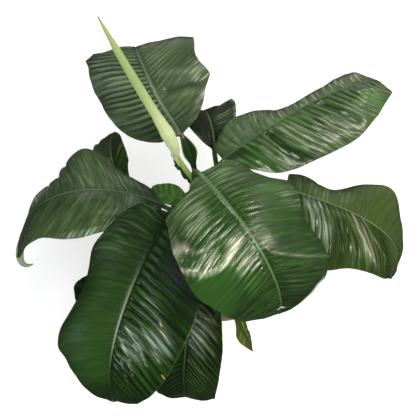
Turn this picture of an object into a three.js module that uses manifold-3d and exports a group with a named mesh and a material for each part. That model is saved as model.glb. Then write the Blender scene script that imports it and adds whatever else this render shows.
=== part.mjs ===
import * as THREE from "three";
import { mergeVertices } from "three/addons/utils/BufferGeometryUtils.js";
import Module from "manifold-3d";

// A large-leaved peace lily in a round grower's pot.
// Millimetres, +Z up, the pot's underside at z = 0 and its middle at x = y = 0.
// Headings are in degrees from +X towards +Y, so -90 points at the front.

const gap = 0.3;

// Pot: a tapered wall with a rolled rim, and a flat floor with drain holes.
const potHeight = 185;
const rimRadius = 101;
const rimDepth = 15;
const wallRadius = 97;
const footRadius = 70;
const wall = 2.2;
const floorThick = 3;
const drainCount = 6;
const drainRadius = 5;
const drainRing = 44;
const potSides = 40;

// Soil: it fills the pot to a hand's breadth of stalks, a little mounded and crumbly.
const soilTop = 166;
const soilMound = 4;
const soilRough = 1.2;
const soilRings = 5;
const rootDepth = 22;
const stalkStart = soilTop + soilMound + 2;

// Stalks: radius at the soil, along the middle and at the blade.
const stalkFoot = 5.2;
const stalkMid = 3.9;
const stalkEnd = 3.2;
const stalkSides = 8;
const stalkSteps = 9;

// The winged end of a sheath, as a share of the stalk's length.
const wingAt = 0.84;
const wingSpan = 0.1;

// Blades, and how finely they are made up.
const midribSteps = 48;
const bladeStations = 20;
const bladeShares = [0, 0.33, 0.68, 1];
const bladeThick = 0.9;
const ribHalf = 4.5;
const ribTip = 1.6;
const veinLead = 0.14;
const pointLength = 0.07;
const swellSpan = 0.11;

// Each leaf. Pairs are left and right of the midrib, seen from its stalk, or foot and tip.
//   foot     where the blade starts: x, y, z
//   root     where the stalk leaves the soil: x, y
//   reach    how far the stalk runs upright, and along the blade's own line, before it bends
//   heading  of the midrib at the foot, and turn, how far it swings by the tip
//   slope    of the midrib before and after its bend, which lies at bendAt and is bendSoft long
//   roll     of the blade about the midrib, right side down, at foot and tip
//   fold     how far each half lifts from flat at the midrib
//   arch     how far each half curls down again towards its margin
//   wave     height of the margin's waves, waves their number, phase where they start
//   swells   of a margin: -1 left or 1 right, place along it, how much wider as a share, and lift
//   shape    powers of the outline towards foot and tip
const leaves = {
  leaf_top: {
    foot: [-35.5, -43.5, 492],
    root: [-12, -12],
    reach: [60, 105],
    heading: -51.5,
    turn: -5.5,
    slope: [17, -126.5],
    bendAt: 0.615,
    bendSoft: 0.46,
    roll: [13.5, -4.5],
    length: 260,
    width: 181,
    shape: [0.49, 0.72],
    fold: [24.5, -4],
    arch: [74.5, 21],
    wave: [-16, -5],
    waves: 2.32,
    phase: [16, -2],
    swells: [
      [-1, 0.73, 0.1, 2],
      [1, 0.67, -0.03, 1],
      [1, 0, -0.35, 0],
    ],
  },
  leaf_back: {
    wing: 1.3,
    foot: [-60.5, 69.5, 380.5],
    root: [-24, 23],
    reach: [125, 70],
    heading: 127.5,
    turn: -37.5,
    slope: [28, -98.5],
    bendAt: 0.645,
    bendSoft: 0.41,
    roll: [14, -2],
    length: 244,
    width: 162,
    shape: [0.53, 0.65],
    fold: [10.5, 8],
    arch: [49, 14],
    wave: [-12, -1],
    waves: 2.35,
    phase: [40, -108],
    swells: [
      [-1, 0.41, -0.04, 2],
      [-1, 0.71, 0.07, 3],
      [1, 0.38, -0.12, 0],
      [1, 0.83, -0.03, -2],
    ],
  },
  leaf_back_right: {
    foot: [-6, 22, 401.5],
    root: [-3, 1],
    reach: [90, 115],
    heading: 43,
    turn: -20,
    slope: [-2.5, -28.5],
    bendAt: 0.765,
    bendSoft: 0.33,
    roll: [22.5, 23],
    length: 303,
    width: 162,
    shape: [0.51, 0.66],
    fold: [-7, -3],
    arch: [43.5, 31],
    wave: [26, 2],
    waves: 1.33,
    phase: [-6, 26],
    swells: [
      [-1, 0.37, -0.15, 2],
      [-1, 0.54, -0.04, -1],
      [1, 0.59, 0.06, 1],
      [1, 0.14, 0.06, -5],
    ],
  },
  leaf_back_small: {
    foot: [-16, 66, 349],
    root: [5, 32],
    reach: [85, 80],
    heading: 94.5,
    turn: 22,
    slope: [51.5, -79.5],
    bendAt: 0.185,
    bendSoft: 0.43,
    roll: [-8, -7.5],
    length: 198,
    width: 85,
    shape: [0.63, 0.73],
    fold: [14, 21.5],
    arch: [20, 30.5],
    wave: [3, 8],
    waves: 1.39,
    phase: [64, -120],
    swells: [
      [-1, 0.55, 0, -2],
      [1, 0.75, -0.06, 1],
      [1, 0.55, -0.03, 1],
    ],
  },
  leaf_right: {
    foot: [74.5, -10, 379],
    root: [27, 18],
    reach: [90, 125],
    heading: -10.5,
    turn: -6.5,
    slope: [-10.5, -93.5],
    bendAt: 0.61,
    bendSoft: 0.38,
    roll: [45.5, -13.5],
    length: 276,
    width: 167,
    shape: [0.58, 0.83],
    fold: [15, 20.5],
    arch: [57.5, 63.5],
    wave: [19, -8],
    waves: 1.8,
    phase: [46, -84],
    swells: [
      [-1, 0.63, 0.09, 4],
      [-1, 0.12, 0.08, -2],
      [1, 0.71, -0.08, 1],
      [1, 0.2, 0.2, 0],
    ],
  },
  leaf_right_under: {
    foot: [127, -43, 219],
    root: [17, -17],
    reach: [120, 165],
    heading: 1.5,
    turn: 52.5,
    slope: [15.5, -84],
    bendAt: 0.405,
    bendSoft: 0.31,
    roll: [58, -6],
    length: 239,
    width: 67,
    shape: [0.48, 0.88],
    fold: [-5, 9],
    arch: [30, 55.5],
    wave: [17, -8],
    waves: 2.39,
    phase: [-122, 0],
    swells: [
      [-1, 0.48, 0.04, 2],
      [1, 0.25, 0, 3],
    ],
  },
  leaf_left: {
    foot: [-84, -10.5, 333],
    root: [-19, -30],
    reach: [115, 170],
    heading: 168,
    turn: 38,
    slope: [43, -90],
    bendAt: 0.46,
    bendSoft: 0.41,
    roll: [-25, -14.5],
    length: 308,
    width: 174,
    shape: [0.6, 0.83],
    fold: [11, -18],
    arch: [22, -16.5],
    wave: [-5, -16],
    waves: 1.63,
    phase: [-150, 48],
    swells: [
      [-1, 0.53, -0.14, 2],
      [-1, 0.72, 0.09, -3],
      [1, 0.22, -0.15, 0],
    ],
  },
  leaf_left_behind: {
    foot: [-135, 19.5, 292.5],
    root: [-21, 1],
    reach: [250, 250],
    heading: 122.5,
    turn: -40.5,
    slope: [7, -42.5],
    bendAt: 0.415,
    bendSoft: 0.34,
    roll: [18.5, 9.5],
    length: 166,
    width: 53,
    shape: [0.52, 0.74],
    fold: [12.5, 35.5],
    arch: [18.5, 27.5],
    wave: [5, 5],
    waves: 2.33,
    phase: [-62, -66],
    swells: [
      [-1, 0.19, -0.02, 2],
      [-1, 0.64, 0.03, 4],
      [1, 0.15, -0.09, 0],
      [1, 0.7, -0.02, 2],
    ],
  },
  leaf_left_low: {
    foot: [-91.5, -33, 225.5],
    root: [-30, -11],
    reach: [75, 85],
    heading: 215.5,
    turn: 10,
    slope: [-6.5, -76.5],
    bendAt: 0.59,
    bendSoft: 0.26,
    roll: [-29, -23],
    length: 219,
    width: 102,
    shape: [0.66, 0.74],
    fold: [22.5, 25],
    arch: [27, 23],
    wave: [2, -10],
    waves: 2.43,
    phase: [136, 96],
    swells: [
      [-1, 0.41, 0.11, 0],
      [-1, 0.91, 0.02, -5],
      [1, 0.18, -0.04, -3],
      [1, 0.94, 0.06, -1],
    ],
  },
  leaf_front_left: {
    foot: [-68.5, -73.5, 444.5],
    root: [15, -2],
    reach: [105, 95],
    heading: -126,
    turn: 35.5,
    slope: [-19.5, -86.5],
    bendAt: 0.7,
    bendSoft: 0.16,
    roll: [-8.5, -6.5],
    length: 293,
    width: 192,
    shape: [0.5, 0.81],
    fold: [22, 24.5],
    arch: [25, 99.5],
    wave: [6, -15],
    waves: 2.47,
    phase: [-14, 48],
    swells: [
      [-1, 0.33, -0.04, -1],
      [-1, 0.8, -0.03, -1],
      [1, 0.66, 0.18, 6],
    ],
  },
  leaf_front: {
    foot: [-30, -77.5, 285],
    root: [-7, -24],
    reach: [220, 50],
    heading: -109,
    turn: 22,
    slope: [2.5, -116],
    bendAt: 0.49,
    bendSoft: 0.58,
    roll: [-18, -2.5],
    length: 286,
    width: 123,
    shape: [0.59, 0.83],
    fold: [25, 25],
    arch: [21, 19],
    wave: [4, -1],
    waves: 2.08,
    phase: [-122, 132],
    swells: [
      [-1, 0.14, -0.04, 5],
      [-1, 0.47, -0.05, 0],
      [1, 0.52, 0, -3],
    ],
  },
  leaf_young: {
    foot: [-55, 14.5, 293],
    root: [-34, 10],
    reach: [65, 75],
    heading: 160,
    turn: 12,
    slope: [16.5, -58],
    bendAt: 0.56,
    bendSoft: 0.37,
    roll: [-16, -0.5],
    length: 70,
    width: 40,
    shape: [0.56, 0.73],
    fold: [18, 5],
    arch: [13.5, 13],
    wave: [-1, 1],
    waves: 2.09,
    phase: [0, 170],
    swells: [
      [-1, 0.27, 0.05, -1],
      [1, 0.81, 0.02, 4],
    ],
  },
  leaf_old: {
    foot: [10.5, -95.5, 229.5],
    root: [5, -30],
    reach: [80, 95],
    heading: -82.5,
    turn: 48.5,
    slope: [3, -86.5],
    bendAt: 0.38,
    bendSoft: 0.57,
    roll: [19, 23.5],
    length: 115,
    width: 40,
    shape: [0.52, 0.6],
    fold: [-5.5, 25],
    arch: [59.5, 18],
    wave: [1, -7],
    waves: 1.77,
    phase: [-32, 66],
    swells: [
      [-1, 0.76, 0.06, 1],
      [1, 0.24, -0.04, 5],
      [1, 0.93, 0.08, 3],
    ],
  },
};

// The flower bud: a straight rolled spathe, leaning to the back left on its own stalk.
// radii are half its thickness at shares of its length, and lap is how far the roll steps out
// over the whole turn, as a share of that. The step faces seam, a heading.
const bud = {
  foot: [-67, 45, 368],
  tip: [-149, 102, 590],
  root: [33, -11],
  reach: [170, 190],
  stalk: 3.6,
  radii: [
    [0, 3.8],
    [0.1, 8.6],
    [0.25, 7.6],
    [0.4, 6.2],
    [0.7, 4.6],
    [0.88, 2.4],
    [1, 0.8],
  ],
  lap: 0.2,
  seam: -110,
  sides: 12,
  steps: 16,
  stalkSteps: 9,
};

const radians = THREE.MathUtils.degToRad;
const mix = (a, b, s) => a + (b - a) * s;
const point = (...xyz) => new THREE.Vector3(...xyz);

// Rings of points joined into one closed skin.
class Skin {
  constructor() {
    this.corners = [];
    this.faces = [];
  }
  add(p) {
    this.corners.push(p.x, p.y, p.z);
    return this.corners.length / 3 - 1;
  }
  ring(points) {
    return points.map((p) => this.add(p));
  }
  face(a, b, c) {
    this.faces.push(a, c, b);
  }
  // Joins two rings of equal count, the second further along. Both run from the left over the top.
  tube(a, b) {
    a.forEach((_, i) => {
      const j = (i + 1) % a.length;
      this.face(a[i], b[i], b[j]);
      this.face(a[i], b[j], a[j]);
    });
  }
  // Joins two rings of any count by the share of the way round of each point.
  zip(a, sharesA, b, sharesB) {
    let i = 0;
    let j = 0;
    while (i < a.length || j < b.length) {
      const nextA = i + 1 < a.length ? sharesA[i + 1] : 1 + sharesA[0];
      const nextB = j + 1 < b.length ? sharesB[j + 1] : 1 + sharesB[0];
      if (j >= b.length || (i < a.length && nextA <= nextB)) {
        this.face(a[i], b[j % b.length], a[(i + 1) % a.length]);
        i += 1;
      } else {
        this.face(a[i % a.length], b[j], b[(j + 1) % b.length]);
        j += 1;
      }
    }
  }
  cap(ring, middle, atEnd) {
    const m = this.add(middle);
    ring.forEach((p, i) => {
      const q = ring[(i + 1) % ring.length];
      if (atEnd) this.face(p, m, q);
      else this.face(q, m, p);
    });
  }
  geometry() {
    const g = new THREE.BufferGeometry();
    g.setAttribute("position", new THREE.Float32BufferAttribute(this.corners, 3));
    g.setIndex(this.faces);
    g.computeVertexNormals();
    return g;
  }
}

// Half the blade's width at b, as a share of the widest, with a short drawn-out point.
function halfWidth(b, leaf) {
  const [near, far] = leaf.shape;
  const end = 1 - pointLength * 0.6;
  const x = Math.min(Math.max(b / end, 0), 1);
  const widest = near / (near + far);
  const peak = widest ** near * (1 - widest) ** far;
  const body = (x ** near * (1 - x) ** far) / peak;
  const beak = b > 1 - 2.5 * pointLength ? 0.1 * Math.min(Math.max((1 - b) / pointLength, 0), 1) : 0;
  return Math.max(body, beak);
}

// The midrib as places with three directions: ahead, to the right, and up out of the blade.
function midribOf(leaf) {
  const slopeAt = (s) =>
    radians(mix(...leaf.slope, 0.5 * (1 + Math.tanh((s - leaf.bendAt) / leaf.bendSoft))));
  const headingAt = (s) => radians(leaf.heading + leaf.turn * s);
  const ahead = (s) => {
    const level = Math.cos(slopeAt(s));
    return point(
      level * Math.cos(headingAt(s)),
      level * Math.sin(headingAt(s)),
      Math.sin(slopeAt(s)),
    );
  };
  const places = [];
  const at = point(...leaf.foot);
  for (let i = 0; i <= midribSteps; i += 1) {
    const s = i / midribSteps;
    const front = ahead(s);
    const level = point(Math.sin(headingAt(s)), -Math.cos(headingAt(s)), 0);
    const upright = new THREE.Vector3().crossVectors(level, front);
    const roll = radians(mix(...leaf.roll, s));
    const right = level.multiplyScalar(Math.cos(roll)).addScaledVector(upright, Math.sin(roll));
    const up = new THREE.Vector3().crossVectors(right, front);
    places.push({ at: at.clone(), front, right, up });
    at.addScaledVector(ahead(s + 0.5 / midribSteps), leaf.length / midribSteps);
  }
  return (s) => {
    const x = Math.min(Math.max(s, 0), 1) * midribSteps;
    const i = Math.min(Math.floor(x), midribSteps - 1);
    const blend = (key) => places[i][key].clone().lerp(places[i + 1][key], x - i);
    return { at: blend("at"), front: blend("front"), right: blend("right"), up: blend("up") };
  };
}

// A point of the blade's upper face: a runs from foot to tip, t from the left margin to the right.
function bladePoint(leaf, midrib, a, t) {
  const side = t > 0 ? 1 : 0;
  const across = Math.abs(t);
  const swept = veinLead * Math.sin(Math.PI * a);
  const b = a + swept;
  const spot = midrib(a + swept * across ** 1.4);
  let wider = 0;
  let lifted = 0;
  for (const [where, at, wide, lift] of leaf.swells) {
    if (where * t > 0) {
      const reach = Math.exp(-(((b - at) / swellSpan) ** 2));
      wider += wide * reach;
      lifted += lift * reach;
    }
  }
  const y = across * halfWidth(b, leaf) * (1 + wider);
  const half = leaf.width / 2;
  const fold = radians(leaf.fold[side]);
  const arch = radians(leaf.arch[side]);
  const lean = fold - arch * y;
  const out = (half * (Math.sin(fold) - Math.sin(lean))) / arch;
  const turns = leaf.waves * b + leaf.phase[side] / 360;
  const waving = leaf.wave[side] * Math.sin(2 * Math.PI * turns);
  const rise = (half * (Math.cos(lean) - Math.cos(fold))) / arch + (waving + lifted) * y * y;
  return spot.at.addScaledVector(spot.right, side ? out : -out).addScaledVector(spot.up, rise);
}

// Straight up out of the upper face there.
function bladeUp(leaf, midrib, a, t) {
  const step = 0.01;
  const along = bladePoint(leaf, midrib, a + step, t).sub(bladePoint(leaf, midrib, a - step, t));
  const over = bladePoint(leaf, midrib, a, Math.min(t + step, 1));
  over.sub(bladePoint(leaf, midrib, a, Math.max(t - step, -1)));
  return over.cross(along).normalize();
}

// A smooth path from one place and direction to another.
function pathBetween(p0, d0, p1, d1) {
  return new THREE.CubicBezierCurve3(
    p0,
    p0.clone().addScaledVector(d0, 1 / 3),
    p1.clone().addScaledVector(d1, -1 / 3),
    p1,
  );
}

// Rings of a stalk up to its end, turned so that the last one lies true to the blade.
function stalkRings(path, radiusAt, right, sides, steps) {
  const spots = [];
  for (let i = 0; i <= steps; i += 1) spots.push(i / steps);
  const aside = right.clone();
  const rings = spots.reverse().map((s) => {
    const front = path.getTangent(s);
    aside.addScaledVector(front, -aside.dot(front)).normalize();
    const up = new THREE.Vector3().crossVectors(aside, front);
    const middle = path.getPoint(s);
    const [wide, high] = radiusAt(s);
    return Array.from({ length: sides }, (_, k) => {
      const angle = Math.PI - (2 * Math.PI * k) / sides;
      return middle
        .clone()
        .addScaledVector(aside, wide * Math.cos(angle))
        .addScaledVector(up, high * Math.sin(angle));
    });
  });
  return rings.reverse();
}

// The foot of a stalk: straight down into its hole in the soil.
function sinkRoot(skin, ring, root) {
  const low = ring.map((p) => point(p.x, p.y, soilTop - rootDepth));
  const lowRing = skin.ring(low);
  skin.cap(lowRing, point(...root, soilTop - rootDepth), false);
  return lowRing;
}

function leafMesh(leaf) {
  const midrib = midribOf(leaf);
  const start = midrib(0);
  const skin = new Skin();

  const end = start.at.clone().addScaledVector(start.up, -stalkEnd);
  const path = pathBetween(
    point(...leaf.root, stalkStart),
    point(0, 0, leaf.reach[0]),
    end,
    start.front.clone().multiplyScalar(leaf.reach[1]),
  );
  const wing = leaf.wing || 0;
  const radiusAt = (s) => {
    const r = s < 0.4 ? mix(stalkFoot, stalkMid, s / 0.4) : mix(stalkMid, stalkEnd, (s - 0.4) / 0.6);
    return [r * (1 + wing * Math.exp(-(((s - wingAt) / wingSpan) ** 2))), r];
  };
  const stalk = stalkRings(path, radiusAt, start.right, stalkSides, stalkSteps);
  const stalkIds = stalk.map((r) => skin.ring(r));
  skin.tube(sinkRoot(skin, stalk[0], leaf.root), stalkIds[0]);
  for (let i = 1; i < stalkIds.length; i += 1) skin.tube(stalkIds[i - 1], stalkIds[i]);

  const stations = leaf.stations || bladeStations;
  const rows = [];
  for (let i = 1; i < stations; i += 1) {
    const u = i / stations;
    const a = mix(u, (1 - Math.cos(Math.PI * u)) / 2, 0.4);
    const halfMm = (leaf.width / 2) * halfWidth(a + veinLead * Math.sin(Math.PI * a), leaf);
    const nearRib = Math.min(0.3, ribHalf / halfMm);
    const shares = [0, ...bladeShares.map((k) => mix(nearRib, 1, k))];
    const ts = [...shares.slice(1).map((t) => -t).reverse(), ...shares];
    const upper = ts.map((t) => bladePoint(leaf, midrib, a, t));
    const lower = ts.map((t, k) => {
      const thick = t === 0 ? mix(2 * stalkEnd, ribTip, a) : bladeThick;
      return upper[k].clone().addScaledVector(bladeUp(leaf, midrib, a, t), -thick);
    });
    rows.push({ upper: skin.ring(upper), lower: skin.ring(lower) });
  }

  const first = rows[0];
  const loop = [...first.upper, ...first.lower.slice().reverse()];
  const last = first.upper.length - 1;
  const loopShares = loop.map((_, k) =>
    k <= last ? (0.5 * k) / last : 0.5 + (0.5 * (k - last - 0.5)) / (last + 1),
  );
  const stalkShares = stalk[0].map((_, k) => k / stalkSides);
  skin.zip(stalkIds[stalkIds.length - 1], stalkShares, loop, loopShares);

  for (let i = 1; i < rows.length; i += 1) {
    const [p, q] = [rows[i - 1], rows[i]];
    for (let k = 0; k < last; k += 1) {
      skin.face(p.upper[k], q.upper[k], q.upper[k + 1]);
      skin.face(p.upper[k], q.upper[k + 1], p.upper[k + 1]);
      skin.face(p.lower[k], q.lower[k + 1], q.lower[k]);
      skin.face(p.lower[k], p.lower[k + 1], q.lower[k + 1]);
    }
    skin.face(p.upper[last], q.upper[last], q.lower[last]);
    skin.face(p.upper[last], q.lower[last], p.lower[last]);
    skin.face(p.lower[0], q.lower[0], q.upper[0]);
    skin.face(p.lower[0], q.upper[0], p.upper[0]);
  }

  const tip = midrib(1);
  const tipUpper = skin.add(tip.at.clone());
  const tipLower = skin.add(tip.at.clone().addScaledVector(tip.up, -bladeThick));
  const edge = rows[rows.length - 1];
  for (let k = 0; k < last; k += 1) {
    skin.face(edge.upper[k], tipUpper, edge.upper[k + 1]);
    skin.face(edge.lower[k], edge.lower[k + 1], tipLower);
  }
  skin.face(edge.upper[last], tipUpper, tipLower);
  skin.face(edge.upper[last], tipLower, edge.lower[last]);
  skin.face(edge.lower[0], tipLower, tipUpper);
  skin.face(edge.lower[0], tipUpper, edge.upper[0]);
  return skin.geometry();
}

// The closed flower spathe on its stalk: one sheet rolled on itself, so its section is a turn of
// a spiral with a step where the outer edge overlaps the inner.
function budMesh() {
  const skin = new Skin();
  const foot = point(...bud.foot);
  const tip = point(...bud.tip);
  const along = tip.clone().sub(foot).normalize();
  const path = pathBetween(
    point(...bud.root, stalkStart),
    point(0, 0, bud.reach[0]),
    foot,
    along.clone().multiplyScalar(bud.reach[1]),
  );
  const seam = radians(bud.seam);
  const right = point(-Math.cos(seam), -Math.sin(seam), 0);
  const round = () => [bud.stalk, bud.stalk];
  const stalk = stalkRings(path, round, right, bud.sides, bud.stalkSteps);
  const rings = [sinkRoot(skin, stalk[0], bud.root), ...stalk.map((r) => skin.ring(r))];
  for (let i = 1; i < rings.length; i += 1) skin.tube(rings[i - 1], rings[i]);

  const radiusAt = (s) => {
    const next = bud.radii.findIndex(([at]) => at >= s);
    const [s0, r0] = bud.radii[next - 1];
    const [s1, r1] = bud.radii[next];
    return mix(r0, r1, THREE.MathUtils.smoothstep(s, s0, s1));
  };
  const aside = right.clone().addScaledVector(along, -right.dot(along)).normalize();
  const up = new THREE.Vector3().crossVectors(aside, along);
  let before = rings[rings.length - 1];
  for (let i = 1; i <= bud.steps; i += 1) {
    const s = i / bud.steps;
    const middle = foot.clone().lerp(tip, s);
    const ring = Array.from({ length: bud.sides }, (_, k) => {
      const angle = Math.PI - (2 * Math.PI * k) / bud.sides;
      const r = radiusAt(s) * (1 + bud.lap * (k / (bud.sides - 1) - 0.5));
      return middle
        .clone()
        .addScaledVector(aside, r * Math.cos(angle))
        .addScaledVector(up, r * Math.sin(angle));
    });
    const now = skin.ring(ring);
    skin.tube(before, now);
    before = now;
  }
  skin.cap(before, tip.clone().addScaledVector(along, 1), true);
  return skin.geometry();
}

// A solid turned about the pot's middle from an outline of radius and height, up its outside first.
function turned(outline, sides) {
  const points = outline.map(([r, z]) => new THREE.Vector2(r, z));
  const lathe = new THREE.LatheGeometry([...points, points[0].clone()], sides);
  return lathe.rotateX(Math.PI / 2).deleteAttribute("uv").deleteAttribute("normal");
}

const wasm = await Module();
wasm.setup();

function solidOf(geometry) {
  const merged = mergeVertices(geometry, 1e-4);
  const corners = merged.index.array;
  const faces = [];
  for (let i = 0; i < corners.length; i += 3) {
    const [a, b, c] = corners.slice(i, i + 3);
    if (a !== b && b !== c && c !== a) faces.push(a, b, c);
  }
  return new wasm.Manifold(
    new wasm.Mesh({
      numProp: 3,
      vertProperties: new Float32Array(merged.attributes.position.array),
      triVerts: new Uint32Array(faces),
    }),
  );
}

function geometryOf(solid) {
  const made = solid.getMesh();
  const g = new THREE.BufferGeometry();
  g.setAttribute("position", new THREE.BufferAttribute(made.vertProperties, 3));
  g.setIndex(new THREE.BufferAttribute(made.triVerts, 1));
  g.computeVertexNormals();
  return g;
}

const column = (x, y, radius, low, high, sides) =>
  wasm.Manifold.cylinder(high - low, radius, radius, sides).translate([x, y, low]);

// The wall's outer radius at a height.
const wallAt = (z) => mix(footRadius, wallRadius, z / potHeight);

function potGeometry() {
  const underRim = potHeight - rimDepth;
  const lip = rimRadius - wallAt(potHeight);
  const outline = [
    [0, 0],
    [footRadius - 2, 0],
    [footRadius, 2],
    [wallAt(underRim), underRim],
    [rimRadius - 1, underRim + 1],
    [rimRadius, underRim + 3],
    [rimRadius, potHeight - 2],
    [rimRadius - 2, potHeight],
    [rimRadius - lip - 0.5, potHeight],
    [rimRadius - lip - wall, potHeight - 2],
    [wallAt(floorThick) - wall, floorThick],
    [0, floorThick],
  ];
  let pot = solidOf(turned(outline, potSides));
  for (let i = 0; i < drainCount; i += 1) {
    const angle = (2 * Math.PI * i) / drainCount;
    const [x, y] = [drainRing * Math.cos(angle), drainRing * Math.sin(angle)];
    pot = pot.subtract(column(x, y, drainRadius, -1, floorThick + 1, 12));
  }
  return geometryOf(pot);
}

function soilGeometry(stalks) {
  const low = floorThick + gap;
  const sideAt = (z) => wallAt(z) - wall - gap - 0.4;
  const lumpy = (r, k) => soilRough * Math.sin(3.1 * k + 0.35 * r) * Math.cos(1.7 * k - 0.21 * r);
  const rings = [];
  for (let k = 0; k <= soilRings; k += 1) {
    const share = k / soilRings;
    rings.push([sideAt(soilTop) * (1 - share), soilTop + soilMound * Math.sin((Math.PI / 2) * share)]);
  }
  const outline = [[0, low], [sideAt(low), low], [sideAt(soilTop) - 0.5, soilTop - 3], ...rings];
  const turnedSoil = turned(outline, potSides);
  const places = turnedSoil.attributes.position;
  for (let i = 0; i < places.count; i += 1) {
    const [x, y, z] = [places.getX(i), places.getY(i), places.getZ(i)];
    const r = Math.hypot(x, y);
    const k = Math.round((Math.atan2(y, x) / Math.PI) * (potSides / 2));
    if (z > soilTop + 0.1 && r > 1) places.setZ(i, z + lumpy(r, k));
  }
  let soil = solidOf(turnedSoil);
  for (const [[x, y], radius] of stalks) {
    const hole = (radius + gap + 0.1) / Math.cos(Math.PI / 12);
    soil = soil.subtract(column(x, y, hole, soilTop - rootDepth - gap, soilTop + 20, 12));
  }
  return geometryOf(soil);
}

const looks = {
  pot: { color: "#6e5f58", roughness: 0.6 },
  soil: { color: "#2e2219", roughness: 1 },
  leaf: { color: "#24441f", roughness: 0.35 },
  oldLeaf: { color: "#7d8a3c", roughness: 0.5 },
  spathe: { color: "#b5c795", roughness: 0.5 },
};

const plant = new THREE.Group();
plant.name = "potted_peace_lily";

function place(name, geometry, look) {
  const mesh = new THREE.Mesh(geometry, new THREE.MeshStandardMaterial(looks[look]));
  mesh.name = name;
  plant.add(mesh);
}

place("pot", potGeometry(), "pot");
const stalks = Object.values(leaves).map((leaf) => [leaf.root, stalkFoot]);
place("soil", soilGeometry([...stalks, [bud.root, bud.stalk]]), "soil");
for (const [name, leaf] of Object.entries(leaves)) {
  place(name, leafMesh(leaf), name === "leaf_old" ? "oldLeaf" : "leaf");
}
place("flower_bud", budMesh(), "spathe");

export default plant;
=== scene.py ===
# Potted peace lily of a large-leaved kind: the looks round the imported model.
# Lengths in the dictionaries are millimetres, angles are degrees and colours run from 0 to 255,
# unless a note says otherwise.
import math
import bpy
import numpy as np
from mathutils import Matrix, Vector


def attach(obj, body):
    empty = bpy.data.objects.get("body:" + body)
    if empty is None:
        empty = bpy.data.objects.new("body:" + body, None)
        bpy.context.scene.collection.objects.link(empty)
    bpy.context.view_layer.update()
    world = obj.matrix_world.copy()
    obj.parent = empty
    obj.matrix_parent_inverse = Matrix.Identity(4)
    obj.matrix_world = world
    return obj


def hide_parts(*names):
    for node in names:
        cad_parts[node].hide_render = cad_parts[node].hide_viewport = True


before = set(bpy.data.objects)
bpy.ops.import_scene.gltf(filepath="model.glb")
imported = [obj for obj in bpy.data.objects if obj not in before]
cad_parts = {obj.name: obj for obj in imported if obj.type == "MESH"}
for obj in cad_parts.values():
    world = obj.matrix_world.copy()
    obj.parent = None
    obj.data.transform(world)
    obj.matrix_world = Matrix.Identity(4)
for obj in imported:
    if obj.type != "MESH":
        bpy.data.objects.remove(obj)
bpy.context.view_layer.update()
print("frame loaded,", len(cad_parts), "nodes")

metre = 0.001  # what a millimetre is in metres
soilTop = 166
stalkStart = 172  # every stalk is straight up to here
rootEnd = 144


# small tools for shader nodes
def feed(tree, socket, value):
    if isinstance(value, bpy.types.NodeSocket):
        tree.links.new(value, socket)
    else:
        socket.default_value = value


def addNode(tree, kind, feeds, **settings):
    node = tree.nodes.new(kind)
    for name, value in settings.items():
        setattr(node, name, value)
    for socket, value in feeds.items():
        feed(tree, node.inputs[socket], value)
    return node


def maths(tree, operation, *values):
    return addNode(tree, "ShaderNodeMath", dict(enumerate(values)), operation=operation).outputs[0]


def times(tree, product, *values):
    for value in values:
        product = maths(tree, "MULTIPLY", product, value)
    return product


def ranged(tree, value, low, high, toLow=0.0, toHigh=1.0, kind="SMOOTHSTEP"):
    feeds = {"Value": value, "From Min": low, "From Max": high, "To Min": toLow, "To Max": toHigh}
    return addNode(tree, "ShaderNodeMapRange", feeds, interpolation_type=kind).outputs[0]


def blended(tree, share, first, second):
    node = addNode(tree, "ShaderNodeMix", {}, data_type="RGBA")
    for socket, value in ((0, share), (6, first), (7, second)):
        feed(tree, node.inputs[socket], value)
    return node.outputs[2]


def colour(red, green, blue):  # from the usual 0 to 255 of a colour picker
    def linear(c):
        c /= 255
        return c / 12.92 if c <= 0.04045 else ((c + 0.055) / 1.055) ** 2.4

    return (linear(red), linear(green), linear(blue), 1.0)


def laid(tree, paint, skin, *coats):
    # Lays coats over a skin, or over the colour that its name gives. Each is a share and a colour's name.
    if isinstance(skin, str):
        skin = colour(*paint[skin])
    for share, shade in coats:
        skin = blended(tree, share, skin, colour(*paint[shade]))
    return skin


def noiseOf(tree, vector, scale, detail=3.0, rough=0.55):
    feeds = {"Vector": vector, "Scale": scale, "Detail": detail, "Roughness": rough}
    return addNode(tree, "ShaderNodeTexNoise", feeds).outputs[0]


def vectorOf(tree, x, y, z=0.0):
    return addNode(tree, "ShaderNodeCombineXYZ", {0: x, 1: y, 2: z}).outputs[0]


def attributeOf(tree, name):
    return addNode(tree, "ShaderNodeAttribute", {}, attribute_name=name).outputs["Fac"]


def placeOf(tree):
    return addNode(tree, "ShaderNodeTexCoord", {}).outputs["Object"]


def newGroup(name, inputs, outputs):
    # Inputs are defaults by name, and one of three numbers makes a vector.
    tree = bpy.data.node_groups.new(name, "ShaderNodeTree")
    for label, value in inputs.items():
        kind = "NodeSocketVector" if isinstance(value, tuple) else "NodeSocketFloat"
        tree.interface.new_socket(label, in_out="INPUT", socket_type=kind).default_value = value
    for label in outputs:
        tree.interface.new_socket(label, in_out="OUTPUT", socket_type="NodeSocketFloat")
    return tree, tree.nodes.new("NodeGroupInput").outputs, tree.nodes.new("NodeGroupOutput").inputs


def useGroup(tree, group, feeds):
    node = tree.nodes.new("ShaderNodeGroup")
    node.node_tree = group
    for label, value in feeds.items():
        feed(tree, node.inputs[label], value)
    return node.outputs


def newMaterial(name):
    material = bpy.data.materials.new(name)
    material.use_nodes = True
    tree = material.node_tree
    tree.nodes.clear()
    shader = tree.nodes.new("ShaderNodeBsdfPrincipled")
    output = tree.nodes.new("ShaderNodeOutputMaterial")
    tree.links.new(shader.outputs[0], output.inputs["Surface"])
    return material, tree, shader


def bumped(tree, shader, height, strength, distance):
    feeds = {"Height": height, "Strength": strength, "Distance": distance}
    feed(tree, shader.inputs["Normal"], addNode(tree, "ShaderNodeBump", feeds).outputs[0])


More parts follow.
